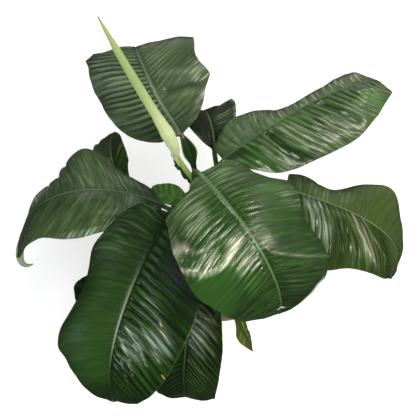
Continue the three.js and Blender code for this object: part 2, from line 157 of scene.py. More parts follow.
# shader groups that several finishes use
def veiningGroup():
    # Run counts the side veins from the leaf's foot, so it is whole on each vein; Rib is mm from the midrib.
    names = ("Veins", "Fine", "Streaks", "Cells", "Glints", "Lines")
    tree, given, made = newGroup("leafVeining", {"Run": 0.0, "Rib": 0.0, "Seed": 0.0}, names)
    run, rib, seed = given["Run"], given["Rib"], given["Seed"]

    def along(repeats, slow, detail):  # noise drawn out along the veins
        place = vectorOf(tree, times(tree, run, repeats), times(tree, rib, slow), seed)
        return noiseOf(tree, place, 1.0, detail, 0.6)

    def fromHalf(value):
        return maths(tree, "ABSOLUTE", maths(tree, "SUBTRACT", value, 0.5))

    away = fromHalf(maths(tree, "FRACT", maths(tree, "ADD", run, 0.5)))
    fading = ranged(tree, along(0.9, 0.02, 2.0), 0.36, 0.56, 0.35, 1.0)
    feed(tree, made["Veins"], times(tree, ranged(tree, away, 0.0, 0.13, 1.0, 0.0), fading))
    feed(tree, made["Fine"], ranged(tree, along(3.1, 0.03, 2.0), 0.42, 0.58))
    feed(tree, made["Glints"], ranged(tree, along(2.4, 0.02, 1.5), 0.44, 0.6))
    feed(tree, made["Streaks"], along(1.6, 0.02, 4.0))
    feed(tree, made["Lines"], ranged(tree, fromHalf(along(1.3, 0.012, 1.0)), 0.02, 0.11, 1.0, 0.0))
    feed(tree, made["Cells"], along(7.0, 0.7, 2.0))
    return tree


def mottleGroup():
    feeds = {"Vector": (0, 0, 0), "Scale": 10.0, "Contrast": 0.3}
    tree, given, made = newGroup("mottle", feeds, ["Mottle"])
    cloud = noiseOf(tree, given["Vector"], given["Scale"], 5.0, 0.6)
    low = maths(tree, "SUBTRACT", 0.5, given["Contrast"])
    high = maths(tree, "ADD", 0.5, given["Contrast"])
    feed(tree, made["Mottle"], ranged(tree, cloud, low, high))
    return tree


def spotDistance(tree, given, *axes):
    # From the middle of an oval spot, as a share of its reach. An axis is the names of a place and a reach.
    offs = []
    for place, reach in axes:
        off = maths(tree, "SUBTRACT", given[place], given["At " + place])
        offs.append(maths(tree, "DIVIDE", off, given[reach]))
    away = addNode(tree, "ShaderNodeVectorMath", {0: vectorOf(tree, *offs)}, operation="LENGTH")
    return away.outputs["Value"]


def speckGroup():
    # One soft-edged mark at a place on a leaf, longer along its vein than across.
    feeds = {"Run": 0.0, "Rib": 0.0, "At Run": 0.0, "At Rib": 0.0, "Veins Wide": 0.3, "Length": 4.0}
    tree, given, made = newGroup("leafSpeck", feeds, ["Mask"])
    away = spotDistance(tree, given, ("Run", "Veins Wide"), ("Rib", "Length"))
    ragged = noiseOf(tree, vectorOf(tree, given["Run"], times(tree, given["Rib"], 0.25)), 3.0)
    shifted = maths(tree, "ADD", away, times(tree, maths(tree, "SUBTRACT", ragged, 0.5), 0.5))
    feed(tree, made["Mask"], ranged(tree, shifted, 0.5, 1.1, 1.0, 0.0))
    return tree


def patchGroup():
    # A large soft patch at a place on a leaf, along as a share of its length and out as a share of its half.
    feeds = {"Along": 0.0, "Out": 0.0, "Cloud": 0.5, "At Along": 0.5, "At Out": 0.5, "Long": 0.1, "Wide": 0.3}
    tree, given, made = newGroup("leafPatch", feeds, ["Mask"])
    away = spotDistance(tree, given, ("Along", "Long"), ("Out", "Wide"))
    shifted = maths(tree, "ADD", away, times(tree, maths(tree, "SUBTRACT", given["Cloud"], 0.5), 1.1))
    feed(tree, made["Mask"], ranged(tree, shifted, 0.45, 1.3, 1.0, 0.0))
    return tree


veining = veiningGroup()
mottling = mottleGroup()
speck = speckGroup()
patch = patchGroup()
print("shader groups made")


def mottled(tree, place, scale, contrast):
    return useGroup(tree, mottling, {"Vector": place, "Scale": scale, "Contrast": contrast})["Mottle"]


# meshes from points, which are in metres here and in millimetres in the rings
def newPiece(name, points, faces, material=None):
    mesh = bpy.data.meshes.new(name)
    mesh.from_pydata(points, [], faces)
    if material:
        mesh.materials.append(material)
    piece = bpy.data.objects.new(name, mesh)
    bpy.context.scene.collection.objects.link(piece)
    return piece


def signedVolume(mesh):
    mesh.calc_loop_triangles()
    corners = np.empty(len(mesh.loop_triangles) * 3, np.int32)
    mesh.loop_triangles.foreach_get("vertices", corners)
    places = np.empty(len(mesh.vertices) * 3)
    mesh.vertices.foreach_get("co", places)
    a, b, c = places.reshape(-1, 3)[corners.reshape(-1, 3)].transpose(1, 0, 2)
    return float((np.cross(a, b) * c).sum() / 6)


def skinObject(name, rings, material, looped=False):
    # One closed skin from rings of points, which loop back to the first ring or have a fan at each end.
    count, around = rings.shape[:2]
    points = rings.reshape(-1, 3) * metre
    i, k = np.meshgrid(np.arange(count if looped else count - 1), np.arange(around), indexing="ij")
    here, there, nextK = i * around, (i + 1) % count * around, (k + 1) % around
    faces = np.stack([here + k, here + nextK, there + nextK, there + k], -1).reshape(-1, 4).tolist()
    if not looped:
        points = np.concatenate([points, [points[:around].mean(0), points[-around:].mean(0)]])
        low, high, last = count * around, count * around + 1, (count - 1) * around
        for k in range(around):
            m = (k + 1) % around
            faces += [(low, m, k), (high, last + k, last + m)]
    piece = newPiece(name, points.tolist(), faces, material)
    if signedVolume(piece.data) < 0:
        piece.data.flip_normals()
    piece.data.shade_smooth()
    return piece


def setMarks(piece, marks):
    # Values for the finish by name: one number, or one for each point, and the fans' middles get the mean.
    for label, values in marks.items():
        if np.ndim(values):
            values = np.concatenate([values.reshape(-1), [values[0].mean(), values[-1].mean()]])
        else:
            values = np.full(len(piece.data.vertices), values)
        layer = piece.data.attributes.new(label, "FLOAT", "POINT")
        layer.data.foreach_set("value", values.astype(np.float32))


# what every leaf has unless its own dictionary says otherwise
leafPaint = {
    "deep": (17, 39, 12),
    "mid": (35, 68, 24),
    "bright": (57, 94, 35),
    "rib": (100, 128, 82),
    "under": (88, 120, 68),
    "underVein": (116, 146, 92),
    "stalk": (52, 88, 34),
    "sheathRim": (168, 180, 132),
    "edge": (104, 118, 66),
    # painted highlight, cream-white
    "creamHighlight": (208, 212, 182),
    # a pale grey-green bloom with painted sheen
    "bloomAndSheen": (122, 138, 106),
    # painted highlight, bluish white
    "blueHighlight": (150, 168, 150),
    "vivid": (34, 74, 18),
    "dry": (196, 172, 78),
    "rust": (166, 96, 28),
}
usualLeaf = {
    "stalkRadii": (5.2, 3.9, 3.2),  # at the soil, at 0.4 of the way, and under the blade
    "stalkRows": 44,
    "sheathEnd": 0.5,  # the sheath's wings reach this share of the stalk
    "sheathHeight": 4.5,
    "wing": (0, 0.84, 0.1),  # a leafy widening of the stalk: how strong, where and how long
    "veinLead": 0.14,  # how far the side veins sweep to the tip, as a share of the length
    "pointLength": 0.07,
    "swellSpan": 0.11,
    "tipBend": (0, 0),  # how far the tip drops and turns more
    "thickness": (0.8, 0.5),  # by the midrib and at the margin
    "groove": (1.1, 0.3),  # depth of the midrib's channel at the foot and at the tip
    "grooveWidth": (2.0, 0.9),
    "keel": (5.4, 0.8),  # how far the midrib stands out underneath
    "keelHalf": (3.3, 1.0),
    "columns": 22,  # from midrib to margin
    "rowsPerVein": 10,
    "corners": (),  # of the margin: side, place along, how far out, how long
    "creases": (),
    "zones": (),  # of deeper pleats: side, place along, how long, how much
    "calm": 0.2,  # how much of the pleats shows outside the zones
    "finePleat": 0.5,
    "buckle": 1.4,
    "ripple": 1.0,
    "paint": {},
    "mottleScale": 26.0,
    "mottleDark": 0.4,
    "cloudScale": 9.0,
    "brightShare": 0.45,  # of the clouds
    "fineDark": 0.4,
    # painted shade in the vein grooves
    "veinShade": 0.6,
    "lineDark": 0.5,
    # painted shade in the pleat valleys and painted highlight on the pleat ridges
    "hollowShade": 0.6,
    "ridgeHighlight": 0.3,
    # colour of the painted highlight along the light folds
    "crestHighlight": "bloomAndSheen",
    "ribWide": 2.3,
    "ribPale": (0.6, 0.6, 0.4),  # at foot, middle and tip
    # painted highlight along the margin where it curls over: side, from, to, and how far out it begins
    "marginHighlight": (),  # side, from, to, and how far out it begins
    "tipPale": 0.2,
    "smooth": (),
    "tints": (),
    "marks": (),
    "dull": (),
    "waxRough": (0.17, 0.25),  # roughness where it shines most and least
    "dullRough": 0.5,
    "underRough": 0.55,
    "specular": 0.42,
    "coat": 0.3,
    "coatRough": 0.12,
    "bumpDepth": 0.4,
}


def leafFinish(name, leaf):
    paint = {**leafPaint, **leaf["paint"]}
    material, tree, shader = newMaterial(name)
    along, run, rib = (attributeOf(tree, label) for label in ("alongLeaf", "veinRun", "fromRib"))
    side, edge, under = (attributeOf(tree, label) for label in ("leafSide", "nearEdge", "underside"))
    rim, hollow, creaseShading = (attributeOf(tree, label) for label in ("wingRim", "hollow", "creaseShading"))
    place = placeOf(tree)
    seed = maths(tree, "ADD", side, float(leaf["seed"]))
    veins = useGroup(tree, veining, {"Run": run, "Rib": rib, "Seed": seed})
    mottle = mottled(tree, place, leaf["mottleScale"], 0.2)
    cloud = mottled(tree, place, leaf["cloudScale"], 0.16)

    def ofSide(which):
        return maths(tree, "COMPARE", side, float(which), 0.5)

    # Patches: side, place along, place out, how long, how wide, then a colour and its strength, or how dull.
    def patchOf(which, down, over, long, wide, strength):
        feeds = {"Along": along, "Out": edge, "Cloud": veins["Streaks"]}
        feeds.update({"At Along": down, "At Out": over, "Long": long, "Wide": wide})
        return times(tree, useGroup(tree, patch, feeds)["Mask"], ofSide(which), strength)

    # The upper face: deep green between lighter streaks that follow the veins, with painted shade in the vein
    # grooves, pleat valleys and dark folds, and painted highlights on the pleat ridges.
    top = laid(
        tree,
        paint,
        "deep",
        (ranged(tree, veins["Streaks"], 0.4, 0.62), "mid"),
        (times(tree, cloud, leaf["brightShare"]), "bright"),
        (times(tree, mottle, leaf["mottleDark"]), "deep"),
        (times(tree, veins["Fine"], leaf["fineDark"]), "deep"),
        # painted shade in the vein grooves
        (times(tree, veins["Veins"], leaf["veinShade"]), "deep"),
        (times(tree, veins["Lines"], leaf["lineDark"]), "deep"),
        # painted highlight on the pleat ridges and painted shade in the pleat valleys
        (ranged(tree, hollow, 0.0, -1.0, 0.0, leaf["ridgeHighlight"]), "bright"),
        (ranged(tree, hollow, 0.0, 1.0, 0.0, leaf["hollowShade"]), "deep"),
        # painted shade along the dark folds
        (ranged(tree, creaseShading, 0.0, -1.0), "deep"),
        *((patchOf(*spot), "mid") for spot in leaf["smooth"]),
    )
    ribWide = ranged(tree, along, 0.0, 1.0, leaf["ribWide"], 0.6, "LINEAR")
    ribMask = ranged(tree, maths(tree, "DIVIDE", rib, ribWide), 0.65, 1.25, 1.0, 0.0)
    atFoot, atMiddle, atTip = leaf["ribPale"]
    ribShade = ranged(tree, along, 0.5, 0.74, ranged(tree, along, 0.2, 0.5, atFoot, atMiddle), atTip)
    margin = times(tree, ranged(tree, edge, 0.975, 0.995), 0.1)
    top = laid(tree, paint, top, (times(tree, ribMask, ribShade), "rib"), (margin, "edge"))
    # painted highlight along parts of the margin
    for which, low, high, inner in leaf["marginHighlight"]:
        starts, ends = ranged(tree, along, low, low + 0.05), ranged(tree, along, high - 0.05, high, 1.0, 0.0)
        band = times(tree, starts, ends, ofSide(which), 0.8, ranged(tree, edge, inner, inner + 0.03))
        top = laid(tree, paint, top, (band, "creamHighlight"))

    between = times(
        tree,
        ranged(tree, veins["Veins"], 0.0, 0.8, 1.0, 0.25),
        ranged(tree, veins["Glints"], 0.0, 1.0, 0.25, 1.0),
        ranged(tree, veins["Lines"], 0.0, 1.0, 1.0, 0.3),
    )
    # Tints lay a colour over a patch; the pale ones are painted highlights and painted sheen.
    for *spot, shade, strength in leaf["tints"]:
        mask = patchOf(*spot, strength)
        if shade not in ("deep", "bright", "vivid"):  # pale tints keep off the veins
            mask = times(tree, mask, between)
        top = laid(tree, paint, top, (mask, shade))

    # painted highlight along the light folds, then a pale tip
    crestHighlight = times(tree, ranged(tree, creaseShading, 0.0, 1.0), ranged(tree, between, 0.25, 1.0, 0.4, 1.0))
    tip = times(tree, ranged(tree, along, 0.955, 0.985), leaf["tipPale"])
    top = laid(tree, paint, top, (crestHighlight, leaf["crestHighlight"]), (tip, "creamHighlight"))

    low = laid(
        tree,
        paint,
        "under",
        (times(tree, veins["Veins"], 0.5), "underVein"),
        (times(tree, mottle, 0.25), "mid"),
        (ribMask, "underVein"),
    )
    stalk = laid(
        tree,
        paint,
        "sheathRim",
        (ranged(tree, along, -1.0, -0.8), "stalk"),
        (times(tree, mottle, 0.35), "deep"),
        (ranged(tree, rim, 0.82, 0.98), "sheathRim"),
    )
    skin = blended(tree, ranged(tree, under, 0.3, 0.9), top, low)
    skin = blended(tree, ranged(tree, along, -0.01, 0.012), stalk, skin)

    # Marks: where along (as vein number), mm from the midrib, side, veins wide, mm long, colour, strength.
    for number, out, which, wide, length, shade, strength in leaf["marks"]:
        feeds = {"Run": run, "Rib": rib, "At Run": float(number), "At Rib": float(out)}
        feeds.update({"Veins Wide": wide, "Length": float(length)})
        mask = times(tree, useGroup(tree, speck, feeds)["Mask"], ofSide(which), strength)
        skin = laid(tree, paint, skin, (mask, shade))
    feed(tree, shader.inputs["Base Color"], skin)

    wax = ranged(tree, mottle, 0.0, 1.0, *leaf["waxRough"])
    dull = 0.0
    for spot in leaf["dull"]:
        dull = maths(tree, "MAXIMUM", dull, patchOf(*spot))
    wax = ranged(tree, dull, 0.0, 1.0, wax, leaf["dullRough"], "LINEAR")
    feed(tree, shader.inputs["Roughness"], ranged(tree, under, 0.3, 0.9, wax, leaf["underRough"], "LINEAR"))
    shader.inputs["Specular IOR Level"].default_value = leaf["specular"]
    shader.inputs["Coat Roughness"].default_value = leaf["coatRough"]
    coat = times(tree, leaf["coat"], maths(tree, "SUBTRACT", 1.0, dull))
    feed(tree, shader.inputs["Coat Weight"], ranged(tree, under, 0.2, 0.8, coat, 0.0, "LINEAR"))
    height = maths(tree, "ADD", times(tree, veins["Fine"], 0.9), times(tree, veins["Cells"], 0.15))
    height = maths(tree, "ADD", height, times(tree, veins["Streaks"], 1.2))
    bumped(tree, shader, height, 0.5, leaf["bumpDepth"] * metre)
    return material


def mixed(first, last, share):
    return first + (last - first) * share


def smoothed(low, high, value):
    x = np.clip((value - low) / (high - low), 0, 1)
    return x * x * (3 - 2 * x)


def hump(value, middle, reach):
    return np.exp(-(((value - middle) / reach) ** 2))


def unit(vectors):
    return vectors / np.linalg.norm(vectors, axis=-1, keepdims=True)


def midribTrack(leaf, steps=480):
    drop, twist = leaf["tipBend"]

    def ahead(s):
        bend = 0.5 * (1 + np.tanh((s - leaf["bendAt"]) / leaf["bendSoft"]))
        end = np.clip((s - 0.8) / 0.2, 0, 1) ** 2
        slope = np.radians(mixed(*leaf["slope"], bend) + drop * end)
        heading = np.radians(leaf["heading"] + leaf["turn"] * s + twist * end)
        flat = np.cos(slope)
        front = np.stack([flat * np.cos(heading), flat * np.sin(heading), np.sin(slope)], -1)
        return front, np.stack([np.sin(heading), -np.cos(heading), 0 * heading], -1)

    s = np.linspace(0, 1, steps + 1)
    moves = ahead((s[1:] + s[:-1]) / 2)[0] * leaf["length"] / steps
    places = np.vstack([np.zeros(3), np.cumsum(moves, 0)]) + np.array(leaf["foot"])
    front, level = ahead(s)
    roll = np.radians(mixed(*leaf["roll"], s))[:, None]
    right = np.cos(roll) * level + np.sin(roll) * np.cross(level, front)
    return {"at": places, "front": front, "right": right, "up": np.cross(right, front)}


def trackAt(track, share):
    x = np.clip(share, 0, 1) * (len(track["at"]) - 1)
    i = np.minimum(x.astype(int), len(track["at"]) - 2)
    w = (x - i)[..., None]
    return {name: row[i] * (1 - w) + row[i + 1] * w for name, row in track.items()}


def halfWidth(leaf, b):
    near, far = leaf["shape"]
    point = leaf["pointLength"]
    x = np.clip(b / (1 - point * 0.6), 0, 1)
    widest = near / (near + far)
    body = x**near * (1 - x) ** far / (widest**near * (1 - widest) ** far)
    beak = np.where(b > 1 - 2.5 * point, 0.1 * np.clip((1 - b) / point, 0, 1), 0)
    return np.maximum(body, beak)


def bladeSheet(leaf, track, a, t):
    # a runs from foot to tip and t from the left margin to the right; a line of one a is a side vein.
    right = t > 0
    across = np.abs(t)
    swept = leaf["veinLead"] * np.sin(np.pi * a)
    b = a + swept
    spot = trackAt(track, a + swept * across**1.4)
    wider, lifted = 0, 0
    for where, at, wide, lift in leaf["swells"]:
        reach = hump(b, at, leaf["swellSpan"]) * (t * where > 0)
        wider, lifted = wider + wide * reach, lifted + lift * reach
    for where, at, wide, span in leaf["corners"]:
        wider = wider + wide * np.exp(-np.sqrt((b - at) ** 2 + 0.006**2) / span) * (t * where > 0)
    y = across * halfWidth(leaf, b) * (1 + wider)
    half = leaf["width"] / 2

    def ofSide(name):
        return np.where(right, leaf[name][1], leaf[name][0])

    fold, arch = np.radians(ofSide("fold")), np.radians(ofSide("arch"))
    lean = fold - arch * y
    out = half * (np.sin(fold) - np.sin(lean)) / arch
    waving = ofSide("wave") * np.sin(2 * np.pi * (leaf["waves"] * b + ofSide("phase") / 360))
    rise = half * (np.cos(lean) - np.cos(fold)) / arch + (waving + lifted) * y * y
    out = np.where(right, out, -out)
    points = spot["at"] + spot["right"] * out[..., None] + spot["up"] * rise[..., None]
    return points, y * half


def normalsOf(points):
    along = np.gradient(points, axis=0)
    over = np.gradient(points, axis=1)
    return unit(np.cross(over, along))


def softNoise(rng, a, t, count, fastest, lean=1.5):
    # A slow, smooth up and down over the blade, a sum of a few waves.
    total = 0
    for _ in range(count):
        fast = rng.uniform(0.25, 1) * fastest
        slant = rng.uniform(-lean, lean)
        total = total + np.sin(2 * np.pi * (fast * a + slant * t + rng.uniform())) / (0.5 + fast / fastest)
    return total / count


def hills(rng, x, y, size=64):
    # Smooth random hills from 0 to 1, about one to each unit square.
    table = rng.uniform(size=(size, size))
    x, y = np.broadcast_arrays(x, y)
    i, j = np.floor(x).astype(int), np.floor(y).astype(int)
    u, v = smoothed(0, 1, x - i), smoothed(0, 1, y - j)

    def at(di, dj):
        return table[(i + di) % size, (j + dj) % size]

    return mixed(mixed(at(0, 0), at(1, 0), u), mixed(at(0, 1), at(1, 1), u), v)


def pleatRelief(leaf, rng, a, t, fromRib):
    # Ridges between the side veins, each of which swells and fades on its way to the margin.
    # Each side of the leaf reads its own part of a table of hills.
    right = t > 0
    far = np.abs(t)
    wander = 0.9 * (hills(rng, 4 * a + 20 * right, 1.6 * far) - 0.5)
    run = leaf["veins"] * a + np.where(right, 0.5, 0.0) + wander
    deep = hills(rng, run + 30 * right, fromRib / 55)
    ridge = (0.1 + 1.3 * deep) * (np.abs(np.sin(np.pi * run)) - 0.55)
    finer = 2.3 * run + 1.8 * hills(rng, 5 * a, 4 * far)
    fine = leaf["finePleat"] * hills(rng, finer + 30 * right, fromRib / 28)
    fine = fine * (np.abs(np.sin(np.pi * finer)) - 0.5)
    lively = smoothed(0.45, 0.75, hills(rng, 4.5 * a + 9 * right, 2.2 * far))
    zone = leaf["calm"] + (1 - leaf["calm"]) * lively
    for side, at, reach, more in leaf["zones"]:
        zone = np.maximum(0.03, zone + more * hump(a, at, reach) * (t * side > 0))
    starts = smoothed(3, 10, fromRib)
    ends = 1 - 0.85 * smoothed(0.4, 0.9, far)
    narrow = smoothed(0, 22, fromRib / np.maximum(far, 0.02))
    reach = leaf["pleat"] * zone * starts * ends * narrow
    # Hollow is 1 in each valley and -1 on each ridge top; the finish paints shade in the valleys and
    # highlights on the ridges from it.
    fall = np.abs(np.sin(np.pi * run))
    hollow = np.clip(0.9 * reach * (0.2 + deep), 0, 1) * (hump(fall, 0, 0.35) - smoothed(0.6, 1, fall))
    return reach * (ridge + fine), run, hollow


def creaseRelief(leaf, a, t):
    # Soft folds that cross the veins. Each has a side, its path as pairs of how far out and how far along,
    # how wide it is along the leaf, how high, and how strong the painted highlight (painted shade where
    # negative) along its top is.
    far = np.abs(t) + 0 * a
    relief, shade = 0 * far, 0 * far
    for side, path, reach, lift, light in leaf["creases"]:
        outs, alongs = zip(*path)
        off = (a - np.interp(far, outs, alongs)) / reach
        ends = smoothed(outs[0] - 0.06, outs[0] + 0.06, far) * smoothed(outs[-1] + 0.06, outs[-1] - 0.06, far)
        relief = relief + lift * (hump(off, 0, 1) * ends * (t * side > 0))
        shade = shade + light * hump(off, 0, 0.7) * ends * (t * side > 0)
    return relief, np.clip(shade, -1, 1)


def ringsAbout(centres, right, above, reach, angles):
    return (
        centres[:, None]
        + right[:, None] * (reach * np.cos(angles))[..., None]
        + above[:, None] * (reach * np.sin(angles))[..., None]
    )


def leafSkin(leaf):
    # One closed skin in rings: up the stalk, then along the blade. Each ring has an upper and a lower half.
    rng = np.random.default_rng(leaf["seed"])
    track = midribTrack(leaf)
    steps = (np.arange(leaf["columns"] + 1) / leaf["columns"]) ** 1.45
    half = np.concatenate([steps[:-1], [0.988, 1.0]])
    t = np.concatenate([-half[:0:-1], half])[None, :]
    rows = leaf["rowsPerVein"] * leaf["veins"]
    u = np.arange(rows + 1) / rows
    a = (mixed(u, (1 - np.cos(np.pi * u)) / 2, 0.4) * 0.996 + 0.0008)[:, None]
    far, right = np.abs(t), t > 0

    sheet, fromRib = bladeSheet(leaf, track, a, t)
    up = normalsOf(sheet)
    relief, run, hollow = pleatRelief(leaf, rng, a, t, fromRib)
    width = halfWidth(leaf, a + leaf["veinLead"] * np.sin(np.pi * a))
    buckle = leaf["buckle"] * softNoise(rng, a, far + 3 * right, 5, 5.0, 0.5)
    buckle = buckle + 2.4 * leaf["buckle"] * (hills(rng, 9 * a + 20 * right, 2.6 * far) - 0.5)
    buckle = buckle + leaf["buckle"] * (hills(rng, 22 * a + 30 * right, 6 * far) - 0.5)
    ripple = leaf["ripple"] * softNoise(rng, a, 0 * t + right, 4, 15.0) * far**5
    edges = smoothed(0, 0.1, a) * smoothed(1, 0.93, a)
    waves = (buckle * smoothed(0.05, 0.6, far) + ripple) * edges * np.minimum(1, width * 1.6)
    folds, creaseShading = creaseRelief(leaf, a, t)
    relief = relief + folds + waves
    wide = mixed(*leaf["grooveWidth"], a)
    channel = mixed(*leaf["groove"], a) * (hump(fromRib, 0, wide) - 0.35 * hump(fromRib, 2.2 * wide, wide))
    upper = sheet + up * (relief - channel * smoothed(0, 0.05, a))[..., None]
    up = normalsOf(upper)
    keelHalf = mixed(*leaf["keelHalf"], a)
    keel = mixed(*leaf["keel"], a**0.8) * np.sqrt(np.clip(1 - (fromRib / keelHalf) ** 2, 0, 1))
    lower = upper - up * (mixed(*leaf["thickness"], far) + keel)[..., None]
    blade = np.concatenate([upper, lower[:, ::-1]], 1)

    # The stalk's rings. Their points go round in the same order as a blade ring's.
    count = t.shape[1]
    turn = (np.arange(count) + 0.5) / count * np.pi
    angles = np.concatenate([np.pi - turn, -turn])
    centres, aside, above, radius, climb = stalkTrack(leaf, track)
    wings = sheathWings(leaf, climb, angles)
    tallest = wings.max(1, keepdims=True)
    rim = wings / np.maximum(tallest, 0.01) * smoothed(0.5, 2.5, tallest)
    stalk = ringsAbout(centres, aside, above, radius[:, None] + wings, angles)
    spot = trackAt(track, a[:, 0])
    end = leaf["stalkRadii"][2]
    tube = ringsAbout(spot["at"] - spot["up"] * end, spot["right"], spot["up"], end, angles)
    opened = smoothed(0, 0.022, a)[..., None]
    blade = tube * (1 - opened) + blade * opened

    def joined(onStalk, onBlade):
        around = 2 * count
        return np.concatenate([onStalk * np.ones((len(stalk), around)), onBlade * np.ones((len(a), around))])

    marks = {
        "alongLeaf": joined((climb - 1.001)[:, None], a),
        "underside": joined(0.5, np.repeat([0.0, 1.0], count)),
        "wingRim": joined(rim, 0),
    }
    values = {"veinRun": run, "fromRib": fromRib, "hollow": hollow, "creaseShading": creaseShading}
    values.update({"leafSide": np.sign(t), "nearEdge": far})
    for label, value in values.items():
        marks[label] = joined(0, np.concatenate([value, value[:, ::-1]], 1))
    return np.concatenate([stalk, blade]), marks


def bezier(p0, d0, p1, d1, s):
    s = s[:, None]
    q1, q2 = p0 + d0 / 3, p1 - d1 / 3
    places = (1 - s) ** 3 * p0 + 3 * (1 - s) ** 2 * s * q1 + 3 * (1 - s) * s**2 * q2 + s**3 * p1
    fronts = (1 - s) ** 2 * (q1 - p0) + 2 * (1 - s) * s * (q2 - q1) + s**2 * (p1 - q2)
    return places, unit(fronts)


def stalkPath(root, reach, foot, front, s):
    # Three places straight down in the mix's hole, then a curve to the foot of a blade or bud.
    places, fronts = bezier(
        np.array([*root, float(stalkStart)]), np.array([0, 0, reach[0]]), foot, front * reach[1], s
    )
    sunk = np.array([[*root, z] for z in (rootEnd, soilTop - 4, soilTop + 1)], float)
    upright = np.tile([0.0, 0.0, 1.0], (3, 1))
    return np.concatenate([sunk, places]), np.concatenate([upright, fronts]), np.concatenate([[0, 0, 0], s])


def carried(aside, fronts):
    # A sideways direction taken along a path without a twist.
    made = []
    for front in fronts:
        aside = unit(aside - front * np.dot(aside, front))
        made.append(aside)
    return np.array(made)


def stalkTrack(leaf, track):
    low, middle, end = leaf["stalkRadii"]
    foot = track["at"][0] - track["up"][0] * end
    s = np.linspace(0, 1, leaf["stalkRows"])[:-1]
    places, fronts, s = stalkPath(leaf["root"], leaf["reach"], foot, track["front"][0], s)
    aside = carried(track["right"][0], fronts[::-1])[::-1]
    radius = np.where(s < 0.4, mixed(low, middle, s / 0.4), mixed(middle, end, (s - 0.4) / 0.6))
    strong, at, span = leaf["wing"]
    return places, aside, np.cross(aside, fronts), radius * (1 + 0.25 * strong * hump(s, at, span)), s


def sheathWings(leaf, climb, angles):
    # Two thin wings along the top of the stalk's lower part, where it wraps the next one.
    end = leaf["sheathEnd"]
    strong, at, span = leaf["wing"]
    height = leaf["sheathHeight"] * smoothed(end + 0.06, end - 0.12, climb) * smoothed(-0.2, 0.12, climb)
    height = height + 8 * strong * hump(climb, at, span)
    shape = sum(hump(angles, np.radians(place), 0.13) for place in (52, 128))
    return height[:, None] * shape[None, :]


def addLeaf(name, node, leaf):
    rings, marks = leafSkin(leaf)
    piece = skinObject(name, rings, leafFinish(name + "Green", leaf))
    setMarks(piece, marks)
    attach(piece, "root")
    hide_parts(node)


def curlSkin(curl):
    # A strip that tapers along a curve, slightly hollow, its open side to the front.
    points = np.array(curl["path"], float)
    s = np.linspace(0, 1, 40)[:, None]
    last = len(points) - 1
    centre = sum(math.comb(last, i) * s**i * (1 - s) ** (last - i) * p for i, p in enumerate(points))
    front = unit(np.gradient(centre, axis=0))
    across = unit(np.cross(front, np.array(curl["facing"])))
    out = np.cross(across, front)
    half = mixed(*curl["halfWidths"], s**2.5)[..., None]
    t = np.linspace(-1, 1, 13)[None, :, None]
    outer = centre[:, None] + across[:, None] * half * t - out[:, None] * half * curl["hollow"] * t * t
    return np.concatenate([outer, (outer - out[:, None] * curl["thick"])[:, ::-1]], 1)


